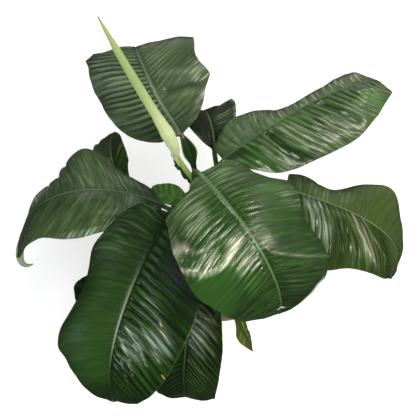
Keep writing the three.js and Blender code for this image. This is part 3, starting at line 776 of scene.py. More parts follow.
# The leaves: the top one, those at the back, right, left and front, then the young and the old one.
# Pairs are left and right of the midrib, seen from its stalk, or foot and tip. Swells: side, place along,
# how much wider, how far lifted. Pleat, buckle and ripple are the depths of the ridges between veins, of
# the blade's slow swells and of its margin's small waves.
leafTop = {
    "foot": (-35.5, -43.5, 492), "root": (-12, -12), "reach": (60, 105),
    "heading": -51.5, "turn": -5.5, "slope": (17, -126.5), "bendAt": 0.615, "bendSoft": 0.46,
    "roll": (13.5, -4.5),
    "length": 260, "width": 181, "shape": (0.49, 0.72), "fold": (24.5, -4), "arch": (74.5, 21),
    "wave": (-16, -5), "waves": 2.32, "phase": (16, -2),
    "swells": [(-1, 0.73, 0.1, 2), (1, 0.67, -0.03, 1), (1, 0, -0.35, 0)],
    "corners": [
        (-1, 0.699, 0.19, 0.016), (-1, 0.262, 0.12, 0.022), (-1, 0.028, 0.4, 0.022),
        (-1, 0.136, -0.2, 0.08), (1, 0.094, 0.4, 0.035), (1, 0.053, -0.28, 0.021), (1, 0.023, -0.15, 0.08),
        (-1, 0.84, -0.05, 0.08),
    ],
    "creases": [
        (1, [(0.1, 0.36), (0.33, 0.36), (0.48, 0.37), (0.58, 0.36), (0.7, 0.34), (0.8, 0.31), (0.9, 0.27),
             (1.1, 0.2)], 0.02, 3, 0.65),
        (1, [(0.1, 0.33), (0.38, 0.32)], 0.02, 2.5, 0.35),
        (1, [(0.4, 0.275), (0.58, 0.263), (0.73, 0.244), (0.82, 0.2)], 0.012, 1.5, 0.4),
        (1, [(0.75, 0.2), (1.1, 0.16)], 0.03, 2, 0.5),
        (-1, [(0.05, 0.44), (0.12, 0.48), (0.27, 0.5), (0.47, 0.52), (0.72, 0.537),
              (0.95, 0.548)], 0.015, 2, 0.3),
    ],
    "veins": 35, "seed": 3, "pleat": 1.3, "finePleat": 0.8, "calm": 0.12,
    "zones": [(1, 0.4, 0.2, 0.9), (-1, 0.4, 0.25, 0.3)],
    "paint": {"deep": (14, 34, 9), "mid": (46, 80, 32), "bright": (82, 118, 56), "rib": (96, 124, 82)},
    "brightShare": 0.6, "veinShade": 0.4, "hollowShade": 0.45, "ridgeHighlight": 0.25, "crestHighlight": "creamHighlight",
    "ribPale": (0.55, 0.75, 0.5), "tipPale": 0.7, "marginHighlight": [(-1, 0.62, 0.97, 0.9)],
    "smooth": [(-1, 0.3, 0.75, 0.25, 0.5, 0.4)],
    "tints": [
        (1, 0.5, 0.7, 0.07, 0.25, "deep", 0.45), (-1, 0.39, 0.0, 0.09, 0.06, "blueHighlight", 0.55),
        (1, 0.39, 0.0, 0.09, 0.06, "blueHighlight", 0.55), (1, 0.42, 0.85, 0.14, 0.45, "vivid", 0.8),
        (1, 0.17, 0.96, 0.05, 0.1, "creamHighlight", 0.5), (1, 0.3, 0.7, 0.03, 0.2, "creamHighlight", 0.3),
        (1, 0.37, 0.28, 0.04, 0.25, "creamHighlight", 0.3), (1, 0.45, 0.3, 0.03, 0.15, "creamHighlight", 0.45),
        (1, 0.15, 0.5, 0.06, 0.25, "creamHighlight", 0.25), (1, 0.05, 0.5, 0.09, 0.7, "bloomAndSheen", 0.4),
        (-1, 0.05, 0.5, 0.1, 0.7, "bloomAndSheen", 0.4), (-1, 0.65, 0.5, 0.3, 0.8, "deep", 0.35),
        (-1, 0.26, 0.85, 0.06, 0.25, "bloomAndSheen", 0.5), (-1, 0.4, 0.12, 0.08, 0.12, "creamHighlight", 0.2),
    ],
    "marks": [(30.2, 1, 1, 0.4, 5, "creamHighlight", 0.9), (29.7, 1, -1, 0.4, 5, "creamHighlight", 0.9)],
    "dull": [
        (-1, 0.38, 0.75, 0.4, 0.5, 1.0), (-1, 0.75, 0.6, 0.25, 0.7, 0.8), (1, 0.48, 0.9, 0.14, 0.5, 0.9),
        (-1, 0.4, 0.32, 0.12, 0.28, 1.0), (-1, 0.08, 0.5, 0.12, 0.9, 1.0), (1, 0.06, 0.5, 0.08, 0.9, 0.8),
    ],
}
leafBack = {
    "foot": (-60.5, 69.5, 380.5), "root": (-24, 23), "reach": (125, 70),
    "heading": 127.5, "turn": -37.5, "slope": (28, -98.5), "bendAt": 0.645, "bendSoft": 0.41,
    "roll": (14, -2),
    "length": 244, "width": 162, "shape": (0.53, 0.65), "fold": (10.5, 8), "arch": (49, 14),
    "wave": (-12, -1), "waves": 2.35, "phase": (40, -108), "wing": (1.5, 0.84, 0.12),
    "swells": [(-1, 0.41, -0.04, 2), (-1, 0.71, 0.07, 3), (1, 0.38, -0.12, 0), (1, 0.83, -0.03, -2)],
    "corners": [
        (-1, 0.69, 0.11, 0.03), (1, 0.585, 0.07, 0.04), (1, 0.225, 0.11, 0.035), (1, 0.14, -0.04, 0.04),
    ],
    "creases": [
        (1, [(0.15, 0.36), (0.3, 0.33), (0.68, 0.25), (1.1, 0.17)], 0.03, 4, 0.5),
        (1, [(0.15, 0.26), (0.45, 0.215), (0.73, 0.175), (1.1, 0.13)], 0.02, -4, -0.9),
        (1, [(0.15, 0.2), (0.58, 0.15), (1.1, 0.09)], 0.03, 3, 0.35),
    ],
    "veins": 33, "seed": 5, "pleat": 2.0,
    "zones": [(-1, 0.45, 0.5, 1.5)],
    "paint": {
        "deep": (28, 42, 22), "mid": (76, 95, 63), "bright": (108, 126, 90), "rib": (128, 144, 112),
        "stalk": (34, 60, 26),
    },
    "veinShade": 0.8, "hollowShade": 1.0, "ridgeHighlight": 0.5,
    "ribPale": (0.35, 0.35, 0.4),
    "smooth": [(1, 0.55, 0.55, 0.3, 0.8, 0.45), (1, 0.2, 0.55, 0.1, 0.8, 0.2)],
    "tints": [
        (1, 0.48, 0.5, 0.06, 0.4, "bloomAndSheen", 0.5), (-1, 0.38, 0.6, 0.05, 0.5, "bloomAndSheen", 0.4),
        (1, 0.05, 0.3, 0.06, 0.5, "deep", 0.5), (-1, 0.06, 0.5, 0.1, 0.8, "deep", 0.6),
        (1, 0.62, 0.6, 0.06, 0.4, "bloomAndSheen", 0.5), (1, 0.2, 0.9, 0.06, 0.2, "creamHighlight", 0.45),
    ],
    "dull": [(-1, 0.4, 0.6, 0.5, 0.8, 0.8), (1, 0.4, 0.6, 0.5, 0.8, 0.5)],
}
leafBackRight = {
    "foot": (-6, 22, 401.5), "root": (-3, 1), "reach": (90, 115),
    "heading": 43, "turn": -20, "slope": (-2.5, -28.5), "bendAt": 0.765, "bendSoft": 0.33,
    "roll": (22.5, 23), "tipBend": (-95, 0),
    "length": 303, "width": 162, "shape": (0.51, 0.66), "fold": (-7, -3), "arch": (43.5, 31),
    "wave": (26, 2), "waves": 1.33, "phase": (-6, 26),
    "swells": [(-1, 0.37, -0.15, 2), (-1, 0.54, -0.04, -1), (1, 0.59, 0.06, 1), (1, 0.14, 0.06, -5)],
    "corners": [
        (-1, 0.922, 0.83, 0.02), (-1, 0.909, 0.4, 0.024), (1, 0.916, 0.2, 0.03), (1, 0.74, 0.04, 0.04),
    ],
    "creases": [
        (1, [(0.1, 0.24), (0.38, 0.225), (0.62, 0.206), (0.9, 0.2)], 0.028, -5, -1.0),
        (1, [(0.25, 0.156), (0.55, 0.131), (1.1, 0.13)], 0.025, 2, 0.5),
        (1, [(0.15, 0.29), (0.45, 0.263), (0.8, 0.238)], 0.015, 2, 0.45),
        (1, [(0.38, 0.431), (0.62, 0.413), (0.8, 0.425), (1.1, 0.475)], 0.012, 2, 0.7),
        (1, [(0.07, 0.42), (0.33, 0.4), (0.5, 0.381)], 0.015, 1.5, 0.4),
        (1, [(0.12, 0.531), (0.43, 0.531), (0.68, 0.525), (0.85, 0.513)], 0.022, -3.5, -0.85),
        (1, [(0.3, 0.7), (0.6, 0.77), (0.85, 0.79), (1.1, 0.8)], 0.02, 2, 0.6),
    ],
    "veins": 30, "seed": 7, "pleat": 1.6, "finePleat": 0.4,
    "zones": [(1, 0.2, 0.15, 0.6), (1, 0.6, 0.1, 0.5), (-1, 0.6, 0.5, -0.6)],
    "paint": {
        "deep": (24, 42, 18), "mid": (72, 100, 54), "bright": (104, 138, 78), "rib": (66, 92, 52),
        "bloomAndSheen": (138, 144, 120),
    },
    "ribPale": (0.3, 0.3, 0.3),
    "smooth": [(-1, 0.5, 0.5, 0.5, 0.9, 0.4), (1, 0.6, 0.8, 0.2, 0.35, 0.4)],
    "tints": [
        (1, 0.7, 0.7, 0.06, 0.25, "bright", 0.25), (-1, 0.55, 0.5, 0.4, 0.8, "bloomAndSheen", 0.85),
        (-1, 0.72, 0.5, 0.08, 0.4, "creamHighlight", 0.25), (1, 0.12, 0.6, 0.08, 0.4, "vivid", 0.5),
        (1, 0.15, 0.92, 0.06, 0.15, "bloomAndSheen", 0.6), (1, 0.4, 0.9, 0.12, 0.15, "bloomAndSheen", 0.6),
        (1, 0.8, 0.8, 0.06, 0.4, "bloomAndSheen", 0.5), (1, 0.3, 0.4, 0.06, 0.3, "bloomAndSheen", 0.5),
        (1, 0.02, 0.1, 0.1, 0.3, "deep", 0.8),
    ],
    "dull": [(-1, 0.5, 0.5, 0.6, 0.9, 0.9)],
}
leafBackSmall = {
    "foot": (-16, 66, 349), "root": (5, 32), "reach": (85, 80),
    "heading": 94.5, "turn": 22, "slope": (51.5, -79.5), "bendAt": 0.185, "bendSoft": 0.43,
    "roll": (-8, -7.5),
    "length": 198, "width": 85, "shape": (0.63, 0.73), "fold": (14, 21.5), "arch": (20, 30.5),
    "wave": (3, 8), "waves": 1.39, "phase": (64, -120),
    "swells": [(-1, 0.55, 0, -2), (1, 0.75, -0.06, 1), (1, 0.55, -0.03, 1)],
    "veins": 26, "seed": 11, "pleat": 0.8, "columns": 16,
    "paint": {"deep": (8, 20, 6), "mid": (34, 50, 28), "bright": (66, 84, 54), "rib": (92, 112, 78)},
    "specular": 0.2,
    "tints": [
        (1, 0.28, 0.96, 0.2, 0.1, "blueHighlight", 0.7), (1, 0.23, 0.5, 0.15, 0.35, "bloomAndSheen", 0.35),
        (-1, 0.15, 0.5, 0.2, 0.8, "deep", 0.9),
    ],
    "dull": [(-1, 0.5, 0.5, 0.6, 0.9, 1.0), (1, 0.5, 0.5, 0.6, 0.9, 1.0)],
}
leafRight = {
    "foot": (74.5, -10, 379), "root": (27, 18), "reach": (90, 125),
    "heading": -10.5, "turn": -6.5, "slope": (-10.5, -93.5), "bendAt": 0.61, "bendSoft": 0.38,
    "roll": (45.5, -13.5),
    "length": 276, "width": 167, "shape": (0.58, 0.83), "fold": (15, 20.5), "arch": (57.5, 63.5),
    "wave": (19, -8), "waves": 1.8, "phase": (46, -84),
    "swells": [(-1, 0.63, 0.09, 4), (-1, 0.12, 0.08, -2), (1, 0.71, -0.08, 1), (1, 0.2, 0.2, 0)],
    "corners": [
        (-1, 0.04, 0.7, 0.025), (1, 0.819, 0.06, 0.03), (-1, 0.2, -0.1, 0.05), (1, 0.1, 0.85, 0.08),
    ],
    "creases": [
        (1, [(0.05, 0.344), (0.43, 0.325), (0.7, 0.344), (0.85, 0.381)], 0.012, 1.5, 0.7),
        (1, [(0.05, 0.405), (0.33, 0.413), (0.58, 0.45), (0.73, 0.494)], 0.01, 1, 0.45),
    ],
    "veins": 32, "seed": 13, "pleat": 1.7,
    "zones": [(1, 0.12, 0.1, 1.4), (1, 0.42, 0.12, 0.8), (-1, 0.5, 0.6, -1.0)],
    "paint": {"deep": (26, 40, 12), "mid": (68, 90, 40), "bright": (94, 116, 60), "rib": (132, 146, 108)},
    "crestHighlight": "creamHighlight",
    "ribPale": (0.2, 0.4, 0.4), "tipPale": 0.6,
    "smooth": [(-1, 0.5, 0.5, 0.55, 0.9, 0.5), (1, 0.75, 0.6, 0.2, 0.6, 0.3)],
    "tints": [
        (-1, 0.15, 0.5, 0.2, 0.6, "bloomAndSheen", 0.35), (1, 0.36, 0.5, 0.05, 0.4, "creamHighlight", 0.4),
        (1, 0.14, 0.4, 0.07, 0.4, "blueHighlight", 0.8), (1, 0.22, 0.7, 0.05, 0.4, "deep", 0.6),
    ],
    "dull": [(-1, 0.5, 0.5, 0.6, 0.9, 0.8)],
}
leafRightUnder = {
    "foot": (127, -43, 219), "root": (17, -17), "reach": (120, 165),
    "heading": 1.5, "turn": 52.5, "slope": (15.5, -84), "bendAt": 0.405, "bendSoft": 0.31, "roll": (58, -6),
    "length": 239, "width": 67, "shape": (0.48, 0.88), "fold": (-5, 9), "arch": (30, 55.5),
    "wave": (17, -8), "waves": 2.39, "phase": (-122, 0),
    "swells": [(-1, 0.48, 0.04, 2), (1, 0.25, 0, 3)],
    "veins": 32, "seed": 17, "pleat": 0.8, "columns": 14,
    "paint": {"deep": (8, 22, 4), "mid": (24, 46, 12), "bright": (46, 76, 28), "rib": (66, 96, 46)},
    "specular": 0.2,
}
leafLeft = {
    "foot": (-84, -10.5, 333), "root": (-19, -30), "reach": (115, 170),
    "heading": 168, "turn": 38, "slope": (43, -90), "bendAt": 0.46, "bendSoft": 0.41, "roll": (-25, -14.5),
    "length": 308, "width": 174, "shape": (0.6, 0.83), "fold": (11, -18), "arch": (22, -16.5),
    "wave": (-5, -16), "waves": 1.63, "phase": (-150, 48),
    "swells": [(-1, 0.53, -0.14, 2), (-1, 0.72, 0.09, -3), (1, 0.22, -0.15, 0)],
    "creases": [
        (1, [(0.5, 0.56), (1.1, 0.575)], 0.012, -2.5, -0.6),
        (1, [(0.4, 0.48), (1.1, 0.506)], 0.012, -2.5, -0.6),
        (1, [(0.33, 0.4), (1.1, 0.43)], 0.012, -2, -0.5),
        (1, [(0.33, 0.48), (0.43, 0.58), (0.65, 0.7)], 0.015, 2, 0.3),
    ],
    "veins": 41, "seed": 19, "pleat": 0.7, "buckle": 1.8, "ripple": 2.4,
    "paint": {
        "deep": (28, 44, 22), "mid": (76, 98, 58), "bright": (98, 120, 76), "rib": (104, 128, 86),
        "under": (124, 133, 110),
    },
    "veinShade": 0.3, "lineDark": 0.3, "hollowShade": 0.3, "ridgeHighlight": 0.2,
    "ribPale": (0.3, 0.5, 0.4), "marginHighlight": [(1, 0.45, 0.72, 0.93)],
    "smooth": [(1, 0.6, 0.6, 0.4, 0.8, 0.3)],
    "tints": [
        (-1, 0.2, 0.96, 0.12, 0.1, "blueHighlight", 0.9), (1, 0.6, 0.75, 0.12, 0.4, "bloomAndSheen", 0.6),
        (1, 0.66, 0.82, 0.1, 0.25, "blueHighlight", 0.9), (1, 0.7, 0.9, 0.08, 0.14, "creamHighlight", 0.5),
        (1, 0.25, 0.4, 0.2, 0.5, "bloomAndSheen", 0.4), (-1, 0.06, 0.4, 0.08, 0.8, "deep", 0.8),
    ],
    "dull": [(1, 0.5, 0.5, 0.6, 0.9, 0.7)],
}
leafLeftBehind = {
    "foot": (-135, 19.5, 292.5), "root": (-21, 1), "reach": (250, 250),
    "heading": 122.5, "turn": -40.5, "slope": (7, -42.5), "bendAt": 0.415, "bendSoft": 0.34,
    "roll": (18.5, 9.5),
    "length": 166, "width": 53, "shape": (0.52, 0.74), "fold": (12.5, 35.5), "arch": (18.5, 27.5),
    "wave": (5, 5), "waves": 2.33, "phase": (-62, -66),
    "swells": [(-1, 0.19, -0.02, 2), (-1, 0.64, 0.03, 4), (1, 0.15, -0.09, 0), (1, 0.7, -0.02, 2)],
    "veins": 22, "seed": 23, "pleat": 0.8, "columns": 14,
    "paint": {"deep": (18, 38, 10), "mid": (54, 82, 34), "bright": (90, 114, 58), "rib": (92, 116, 60)},
    "specular": 0.3,
    "marks": [(9.8, 3, -1, 0.7, 4, "rust", 0.25), (8.8, 16, 1, 0.5, 10, "dry", 0.08)],
    "dull": [(-1, 0.5, 0.5, 0.6, 0.9, 0.9)],
}
leafLeftLow = {
    "foot": (-91.5, -33, 225.5), "root": (-30, -11), "reach": (75, 85),
    "heading": 215.5, "turn": 10, "slope": (-6.5, -76.5), "bendAt": 0.59, "bendSoft": 0.26,
    "roll": (-29, -23),
    "length": 219, "width": 102, "shape": (0.66, 0.74), "fold": (22.5, 25), "arch": (27, 23),
    "wave": (2, -10), "waves": 2.43, "phase": (136, 96),
    "swells": [(-1, 0.41, 0.11, 0), (-1, 0.91, 0.02, -5), (1, 0.18, -0.04, -3), (1, 0.94, 0.06, -1)],
    "veins": 29, "seed": 29, "pleat": 0.8, "columns": 14,
    "paint": {"deep": (6, 20, 3), "mid": (20, 46, 12), "bright": (34, 64, 22), "rib": (50, 76, 38)},
    "specular": 0.1,
    "dull": [(1, 0.5, 0.5, 0.9, 0.9, 1.0), (-1, 0.5, 0.5, 0.9, 0.9, 1.0)],
}
leafFrontLeft = {
    "foot": (-68.5, -73.5, 444.5), "root": (15, -2), "reach": (105, 95),
    "heading": -126, "turn": 35.5, "slope": (-19.5, -86.5), "bendAt": 0.7, "bendSoft": 0.16,
    "roll": (-8.5, -6.5),
    "length": 293, "width": 192, "shape": (0.5, 0.81), "fold": (22, 24.5), "arch": (25, 99.5),
    "wave": (6, -15), "waves": 2.47, "phase": (-14, 48),
    "swells": [(-1, 0.33, -0.04, -1), (-1, 0.8, -0.03, -1), (1, 0.66, 0.18, 6)],
    "corners": [(1, 0.64, 0.05, 0.04)],
    "creases": [
        (-1, [(0.05, 0.544), (0.38, 0.569), (0.57, 0.613)], 0.009, 1.5, 0.85),
        (-1, [(0.12, 0.488), (0.52, 0.506), (0.72, 0.531)], 0.009, 1.5, 0.95),
        (-1, [(0.35, 0.438), (0.68, 0.444), (0.82, 0.475)], 0.009, 1.5, 0.75),
        (-1, [(0.1, 0.6), (0.4, 0.63), (0.6, 0.68)], 0.006, 1, 0.6),
        (-1, [(0.2, 0.515), (0.5, 0.54), (0.65, 0.57)], 0.006, -1.5, -0.7),
        (-1, [(0.3, 0.465), (0.75, 0.485)], 0.006, -1.5, -0.6),
    ],
    "veins": 29, "seed": 31, "pleat": 2.2, "finePleat": 0.3, "calm": 0.08, "buckle": 0.7,
    "zones": [(-1, 0.52, 0.18, 1.9), (1, 0.35, 0.4, -0.8)],
    "paint": {"deep": (8, 24, 4), "mid": (34, 66, 18), "bright": (58, 92, 34), "rib": (132, 150, 124)},
    "hollowShade": 0.8, "ridgeHighlight": 0.4, "crestHighlight": "blueHighlight", "specular": 0.3,
    "ribWide": 1.9, "ribPale": (0.0, 0.75, 0.1),
    "smooth": [(1, 0.55, 0.5, 0.35, 0.9, 0.4)],
    "tints": [
        # the first tint is a painted shadow, where the top leaf shades this one
        (-1, 0.14, 0.8, 0.16, 0.4, "deep", 0.9), (1, 0.12, 0.6, 0.12, 0.5, "bloomAndSheen", 0.15),
        (1, 0.75, 0.6, 0.25, 0.7, "vivid", 0.35), (1, 0.85, 0.5, 0.12, 0.8, "deep", 0.45),
        (-1, 0.72, 0.5, 0.12, 0.8, "deep", 0.5), (-1, 0.42, 0.72, 0.06, 0.2, "blueHighlight", 0.4),
        (-1, 0.53, 0.4, 0.08, 0.25, "blueHighlight", 0.3),
    ],
    "marks": [
        (11, 57, -1, 0.12, 3, "dry", 0.7), (11.5, 64, -1, 0.08, 7, "dry", 0.6),
        (15, 73, -1, 0.12, 3, "dry", 0.6),
    ],
    "dull": [(1, 0.2, 0.5, 0.35, 0.8, 1.0), (-1, 0.1, 0.5, 0.22, 0.9, 1.0), (1, 0.65, 0.6, 0.35, 0.8, 1.0)],
}
leafFront = {
    "foot": (-30, -77.5, 285), "root": (-7, -24), "reach": (220, 50),
    "heading": -109, "turn": 22, "slope": (2.5, -116), "bendAt": 0.49, "bendSoft": 0.58,
    "roll": (-18, -2.5),
    "length": 286, "width": 123, "shape": (0.59, 0.83), "fold": (25, 25), "arch": (21, 19),
    "wave": (4, -1), "waves": 2.08, "phase": (-122, 132),
    "swells": [(-1, 0.14, -0.04, 5), (-1, 0.47, -0.05, 0), (1, 0.52, 0, -3)],
    "corners": [(-1, 0.688, 0.12, 0.04)],
    "creases": [
        (-1, [(0.1, 0.26), (0.3, 0.24), (0.6, 0.235), (0.85, 0.23)], 0.018, 2, 0.45),
        (-1, [(0.05, 0.31), (0.35, 0.305), (0.62, 0.3), (0.85, 0.3)], 0.018, 2, 0.6),
        (-1, [(0.05, 0.39), (0.62, 0.37)], 0.016, 2, 0.5),
        (-1, [(0.1, 0.21), (0.3, 0.205), (0.85, 0.18)], 0.015, 2, 0.5),
        (-1, [(0.1, 0.48), (0.62, 0.46)], 0.015, 2, 0.3),
    ],
    "veins": 30, "seed": 37, "pleat": 2.8, "finePleat": 0.2, "calm": 0.9, "buckle": 0.5,
    "paint": {
        "deep": (8, 22, 3), "mid": (32, 56, 16), "bright": (58, 82, 36), "rib": (92, 116, 78),
        "bloomAndSheen": (150, 146, 118),
    },
    "veinShade": 0.8, "hollowShade": 0.85, "ridgeHighlight": 0.5, "specular": 0.34,
    "ribPale": (0.5, 0.4, 0.3),
    "tints": [(-1, 0.3, 0.3, 0.1, 0.3, "blueHighlight", 0.35), (1, 0.6, 0.5, 0.3, 0.8, "deep", 0.6)],
}
leafYoung = {
    "foot": (-55, 14.5, 293), "root": (-34, 10), "reach": (65, 75),
    "heading": 160, "turn": 12, "slope": (16.5, -58), "bendAt": 0.56, "bendSoft": 0.37, "roll": (-16, -0.5),
    "length": 70, "width": 40, "shape": (0.56, 0.73), "fold": (18, 5), "arch": (13.5, 13),
    "wave": (-1, 1), "waves": 2.09, "phase": (0, 170),
    "swells": [(-1, 0.27, 0.05, -1), (1, 0.81, 0.02, 4)],
    "veins": 9, "seed": 41, "pleat": 0.3, "buckle": 0.6, "ripple": 0.5, "columns": 14,
    "paint": {"deep": (56, 98, 38), "mid": (104, 150, 68), "bright": (134, 176, 90)},
    "specular": 0.3,
}
leafOld = {
    "foot": (10.5, -95.5, 229.5), "root": (5, -30), "reach": (80, 95),
    "heading": -82.5, "turn": 48.5, "slope": (3, -86.5), "bendAt": 0.38, "bendSoft": 0.57,
    "roll": (19, 23.5),
    "length": 115, "width": 40, "shape": (0.52, 0.6), "fold": (-5.5, 25), "arch": (59.5, 18),
    "wave": (1, -7), "waves": 1.77, "phase": (-32, 66),
    "swells": [(-1, 0.76, 0.06, 1), (1, 0.24, -0.04, 5), (1, 0.93, 0.08, 3)],
    "veins": 15, "seed": 43, "pleat": 0.3, "buckle": 0.6, "ripple": 0.6, "columns": 14,
    "slot": "leaf_old", "paint": {"deep": (44, 62, 14), "mid": (92, 108, 40), "bright": (134, 142, 70)},
    "tints": [(1, 0.4, 0.2, 0.5, 0.3, "deep", 0.8)],
}
for name, node, leaf in (
    ("leafTop", "leaf_top", leafTop),
    ("leafBack", "leaf_back", leafBack),
    ("leafBackRight", "leaf_back_right", leafBackRight),
    ("leafBackSmall", "leaf_back_small", leafBackSmall),
    ("leafRight", "leaf_right", leafRight),
    ("leafRightUnder", "leaf_right_under", leafRightUnder),
    ("leafLeft", "leaf_left", leafLeft),
    ("leafLeftBehind", "leaf_left_behind", leafLeftBehind),
    ("leafLeftLow", "leaf_left_low", leafLeftLow),
    ("leafFrontLeft", "leaf_front_left", leafFrontLeft),
    ("leafFront", "leaf_front", leafFront),
    ("leafYoung", "leaf_young", leafYoung),
    ("leafOld", "leaf_old", leafOld),
):
    addLeaf(name, node, {**usualLeaf, **leaf})

# the left leaf's tip, rolled over so that its pale face shows
tipCurl = {
    "path": [(-290, -26, 247), (-298, -34, 238), (-301, -55, 228), (-291, -60, 222), (-278, -53, 222)],
    "facing": (0, -0.42, 0.91),
    "halfWidths": (6, 0.8),
    "hollow": 0.4,
    "thick": 0.5,
    "marks": {"alongLeaf": 0.9, "underside": 1.0, "fromRib": 6.0, "nearEdge": 0.5},
}
curled = skinObject("leafLeftTip", curlSkin(tipCurl), bpy.data.materials["leafLeftGreen"])
setMarks(curled, tipCurl["marks"])
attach(curled, "root")
print("leaves made")


# the closed flower spathe, one sheet rolled on itself, and its stalk
flowerBud = {
    "foot": (-67, 45, 368),
    "tip": (-149, 102, 590),
    "root": (33, -11),
    "reach": (170, 190),
    "stalk": 3.6,
    # the spathe's radius at shares of its length
    "radii": [
        (0, 4.0), (0.06, 6.2), (0.12, 8.2), (0.19, 8.9), (0.26, 7.4), (0.35, 5.9), (0.57, 5.5), (0.77, 4.4),
        (0.894, 2.6), (1, 0.7),
    ],
    "lap": 0.2,  # how far the outer turn stands off the inner, as a share of the radius
    "seam": -110,
    "sheath": 5,
    "sheathAt": -135,
    "bow": 6,  # how far the thick lower part bulges to one side
    "bowAt": 0.17,
    "around": 96,
    "rows": 150,
    "stalkRows": 60,
    "ribs": 21,
    "ribDepth": 0.09,
    "tongue": 17,  # length of the pointed lower end of the outer turn
    "tongueAt": 200,
    "tongueTop": 6.4,
    "tongueMarks": {"alongBud": 0.06, "roundBud": 0.3, "sheathBud": 0},
    "pale": (198, 207, 160),
    "green": (142, 164, 104),
    "stalkLow": (74, 108, 50),
    "stalkHigh": (150, 176, 92),
    # the sheath's dark green, partly painted shade of the stalk's shaded side
    "sheathAndShadeDark": (34, 58, 26),
    "tipBrown": (78, 70, 40),
    "seamShade": (120, 150, 70),
}


def budRadius(knots, share):
    radius = np.full_like(share, knots[0][1], dtype=float)
    for (s0, r0), (s1, r1) in zip(knots[:-1], knots[1:]):
        inside = (share > s0) & (share <= s1)
        radius = np.where(inside, mixed(r0, r1, smoothed(s0, s1, share)), radius)
    return radius


def budSkin(bud):
    foot, tip = np.array(bud["foot"], float), np.array(bud["tip"], float)
    ahead = unit(tip - foot)
    s = np.linspace(0, 1, bud["stalkRows"])
    places, fronts, climb = stalkPath(bud["root"], bud["reach"], foot, ahead, s)
    seam = math.radians(bud["seam"])
    away = np.array([-math.cos(seam), -math.sin(seam), 0])
    aside = carried(away, fronts)
    across = unit(away - ahead * np.dot(away, ahead))
    up = np.cross(across, ahead)
    share = (np.arange(1, bud["rows"] + 1) / bud["rows"]) ** 1.15
    bowed = bud["bow"] * share / bud["bowAt"] * np.exp(1 - share / bud["bowAt"])
    middles = foot + (tip - foot) * share[:, None] + up * bowed[:, None]
    count = bud["around"]
    k = np.arange(count)
    angles = np.pi - 2 * np.pi * k / count
    turnShare = k / (count - 1) - 0.5
    thick = budRadius(bud["radii"], share)[:, None]
    ribs = bud["ribDepth"] * np.sin(bud["ribs"] * angles)[None, :] * smoothed(1.0, 4.0, thick)
    closeSeam = 0.25 * hump(turnShare, 0.5, 0.03)[None, :] * smoothed(1.5, 5.0, thick)
    radius = thick * (1 + bud["lap"] * turnShare[None, :]) + ribs + closeSeam

    # A dark sheath runs up one side of the stalk and stands off it in a ragged edge. Its dark green is partly
    # painted shade of that side of the stalk.
    ragged = 1 + 0.25 * np.sin(70 * climb) + 0.15 * np.sin(163 * climb)
    sheath = bud["sheath"] * smoothed(0.45, 0.62, climb) * smoothed(1.0, 0.97, climb) * ragged
    wing = sheath[:, None] * hump(angles, math.radians(bud["sheathAt"]), 0.4)[None, :]
    stalk = ringsAbout(places, aside, np.cross(aside, fronts), bud["stalk"] + wing, angles)
    ones = np.ones((len(share), 1))
    rings = np.concatenate([stalk, ringsAbout(middles, ones * across, ones * up, radius, angles)])
    marks = {
        "alongBud": np.concatenate([climb - 1.001, share])[:, None] * np.ones(count),
        "sheathBud": np.concatenate([np.clip(wing / 1.2, 0, 1), 0 * radius]),
        "roundBud": np.ones((len(rings), 1)) * turnShare,
    }
    return rings, marks, (foot, ahead, across, up)


def tongueSkin(bud, base):
    # The free lower point of the outer turn, which lies against the stalk below the bud.
    foot, ahead, across, up = base
    down = np.linspace(-0.3, 1, 26)[:, None]
    turn = np.linspace(-1, 1, 15)[None, :]
    wide = 1.05 * np.sqrt(np.clip(1 - np.clip(down, 0, 1) ** 1.4, 0, 1)) + 0.02
    angle = math.radians(bud["tongueAt"]) + turn * wide
    radius = mixed(bud["tongueTop"], bud["stalk"] + 1.2, smoothed(-0.3, 0.6, down)) + 0.5 * down**2
    centre = foot - ahead * (bud["tongue"] * down)[..., None]
    out = across * np.cos(angle)[..., None] + up * np.sin(angle)[..., None]
    outer = centre + out * radius[..., None]
    inner = centre + out * (radius - 0.35)[..., None]
    return np.concatenate([outer, inner[:, ::-1]], 1)


def spatheFinish(bud):
    material, tree, shader = newMaterial("spatheSatin")
    along, turn = attributeOf(tree, "alongBud"), attributeOf(tree, "roundBud")
    lines = noiseOf(tree, vectorOf(tree, times(tree, turn, 46.0), times(tree, along, 5.0)), 1.0)
    mottle = mottled(tree, placeOf(tree), 40.0, 0.22)
    body = laid(
        tree,
        bud,
        "pale",
        (ranged(tree, along, 0.1, 0.62), "green"),
        (times(tree, ranged(tree, lines, 0.4, 0.7), 0.3), "green"),
        (times(tree, mottle, 0.12), "seamShade"),
        (times(tree, ranged(tree, maths(tree, "ABSOLUTE", turn), 0.478, 0.497), 0.6), "seamShade"),
        (ranged(tree, along, 0.955, 0.99), "tipBrown"),
    )
    stalk = laid(
        tree,
        bud,
        "stalkLow",
        (ranged(tree, along, -0.45, -0.03), "stalkHigh"),
        (times(tree, mottle, 0.3), "stalkLow"),
        # dark sheath colour, partly painted shade on that side of the stalk
        (ranged(tree, attributeOf(tree, "sheathBud"), 0.2, 0.7), "sheathAndShadeDark"),
    )
    feed(tree, shader.inputs["Base Color"], blended(tree, ranged(tree, along, -0.006, 0.01), stalk, body))
    feed(tree, shader.inputs["Roughness"], ranged(tree, mottle, 0.0, 1.0, 0.42, 0.55))
    shader.inputs["Subsurface Weight"].default_value = 0.12
    shader.inputs["Subsurface Radius"].default_value = (0.6, 1.0, 0.3)
    shader.inputs["Subsurface Scale"].default_value = 0.004
    bumped(tree, shader, maths(tree, "ADD", lines, times(tree, mottle, 0.2)), 0.35, 0.0003)
    return material


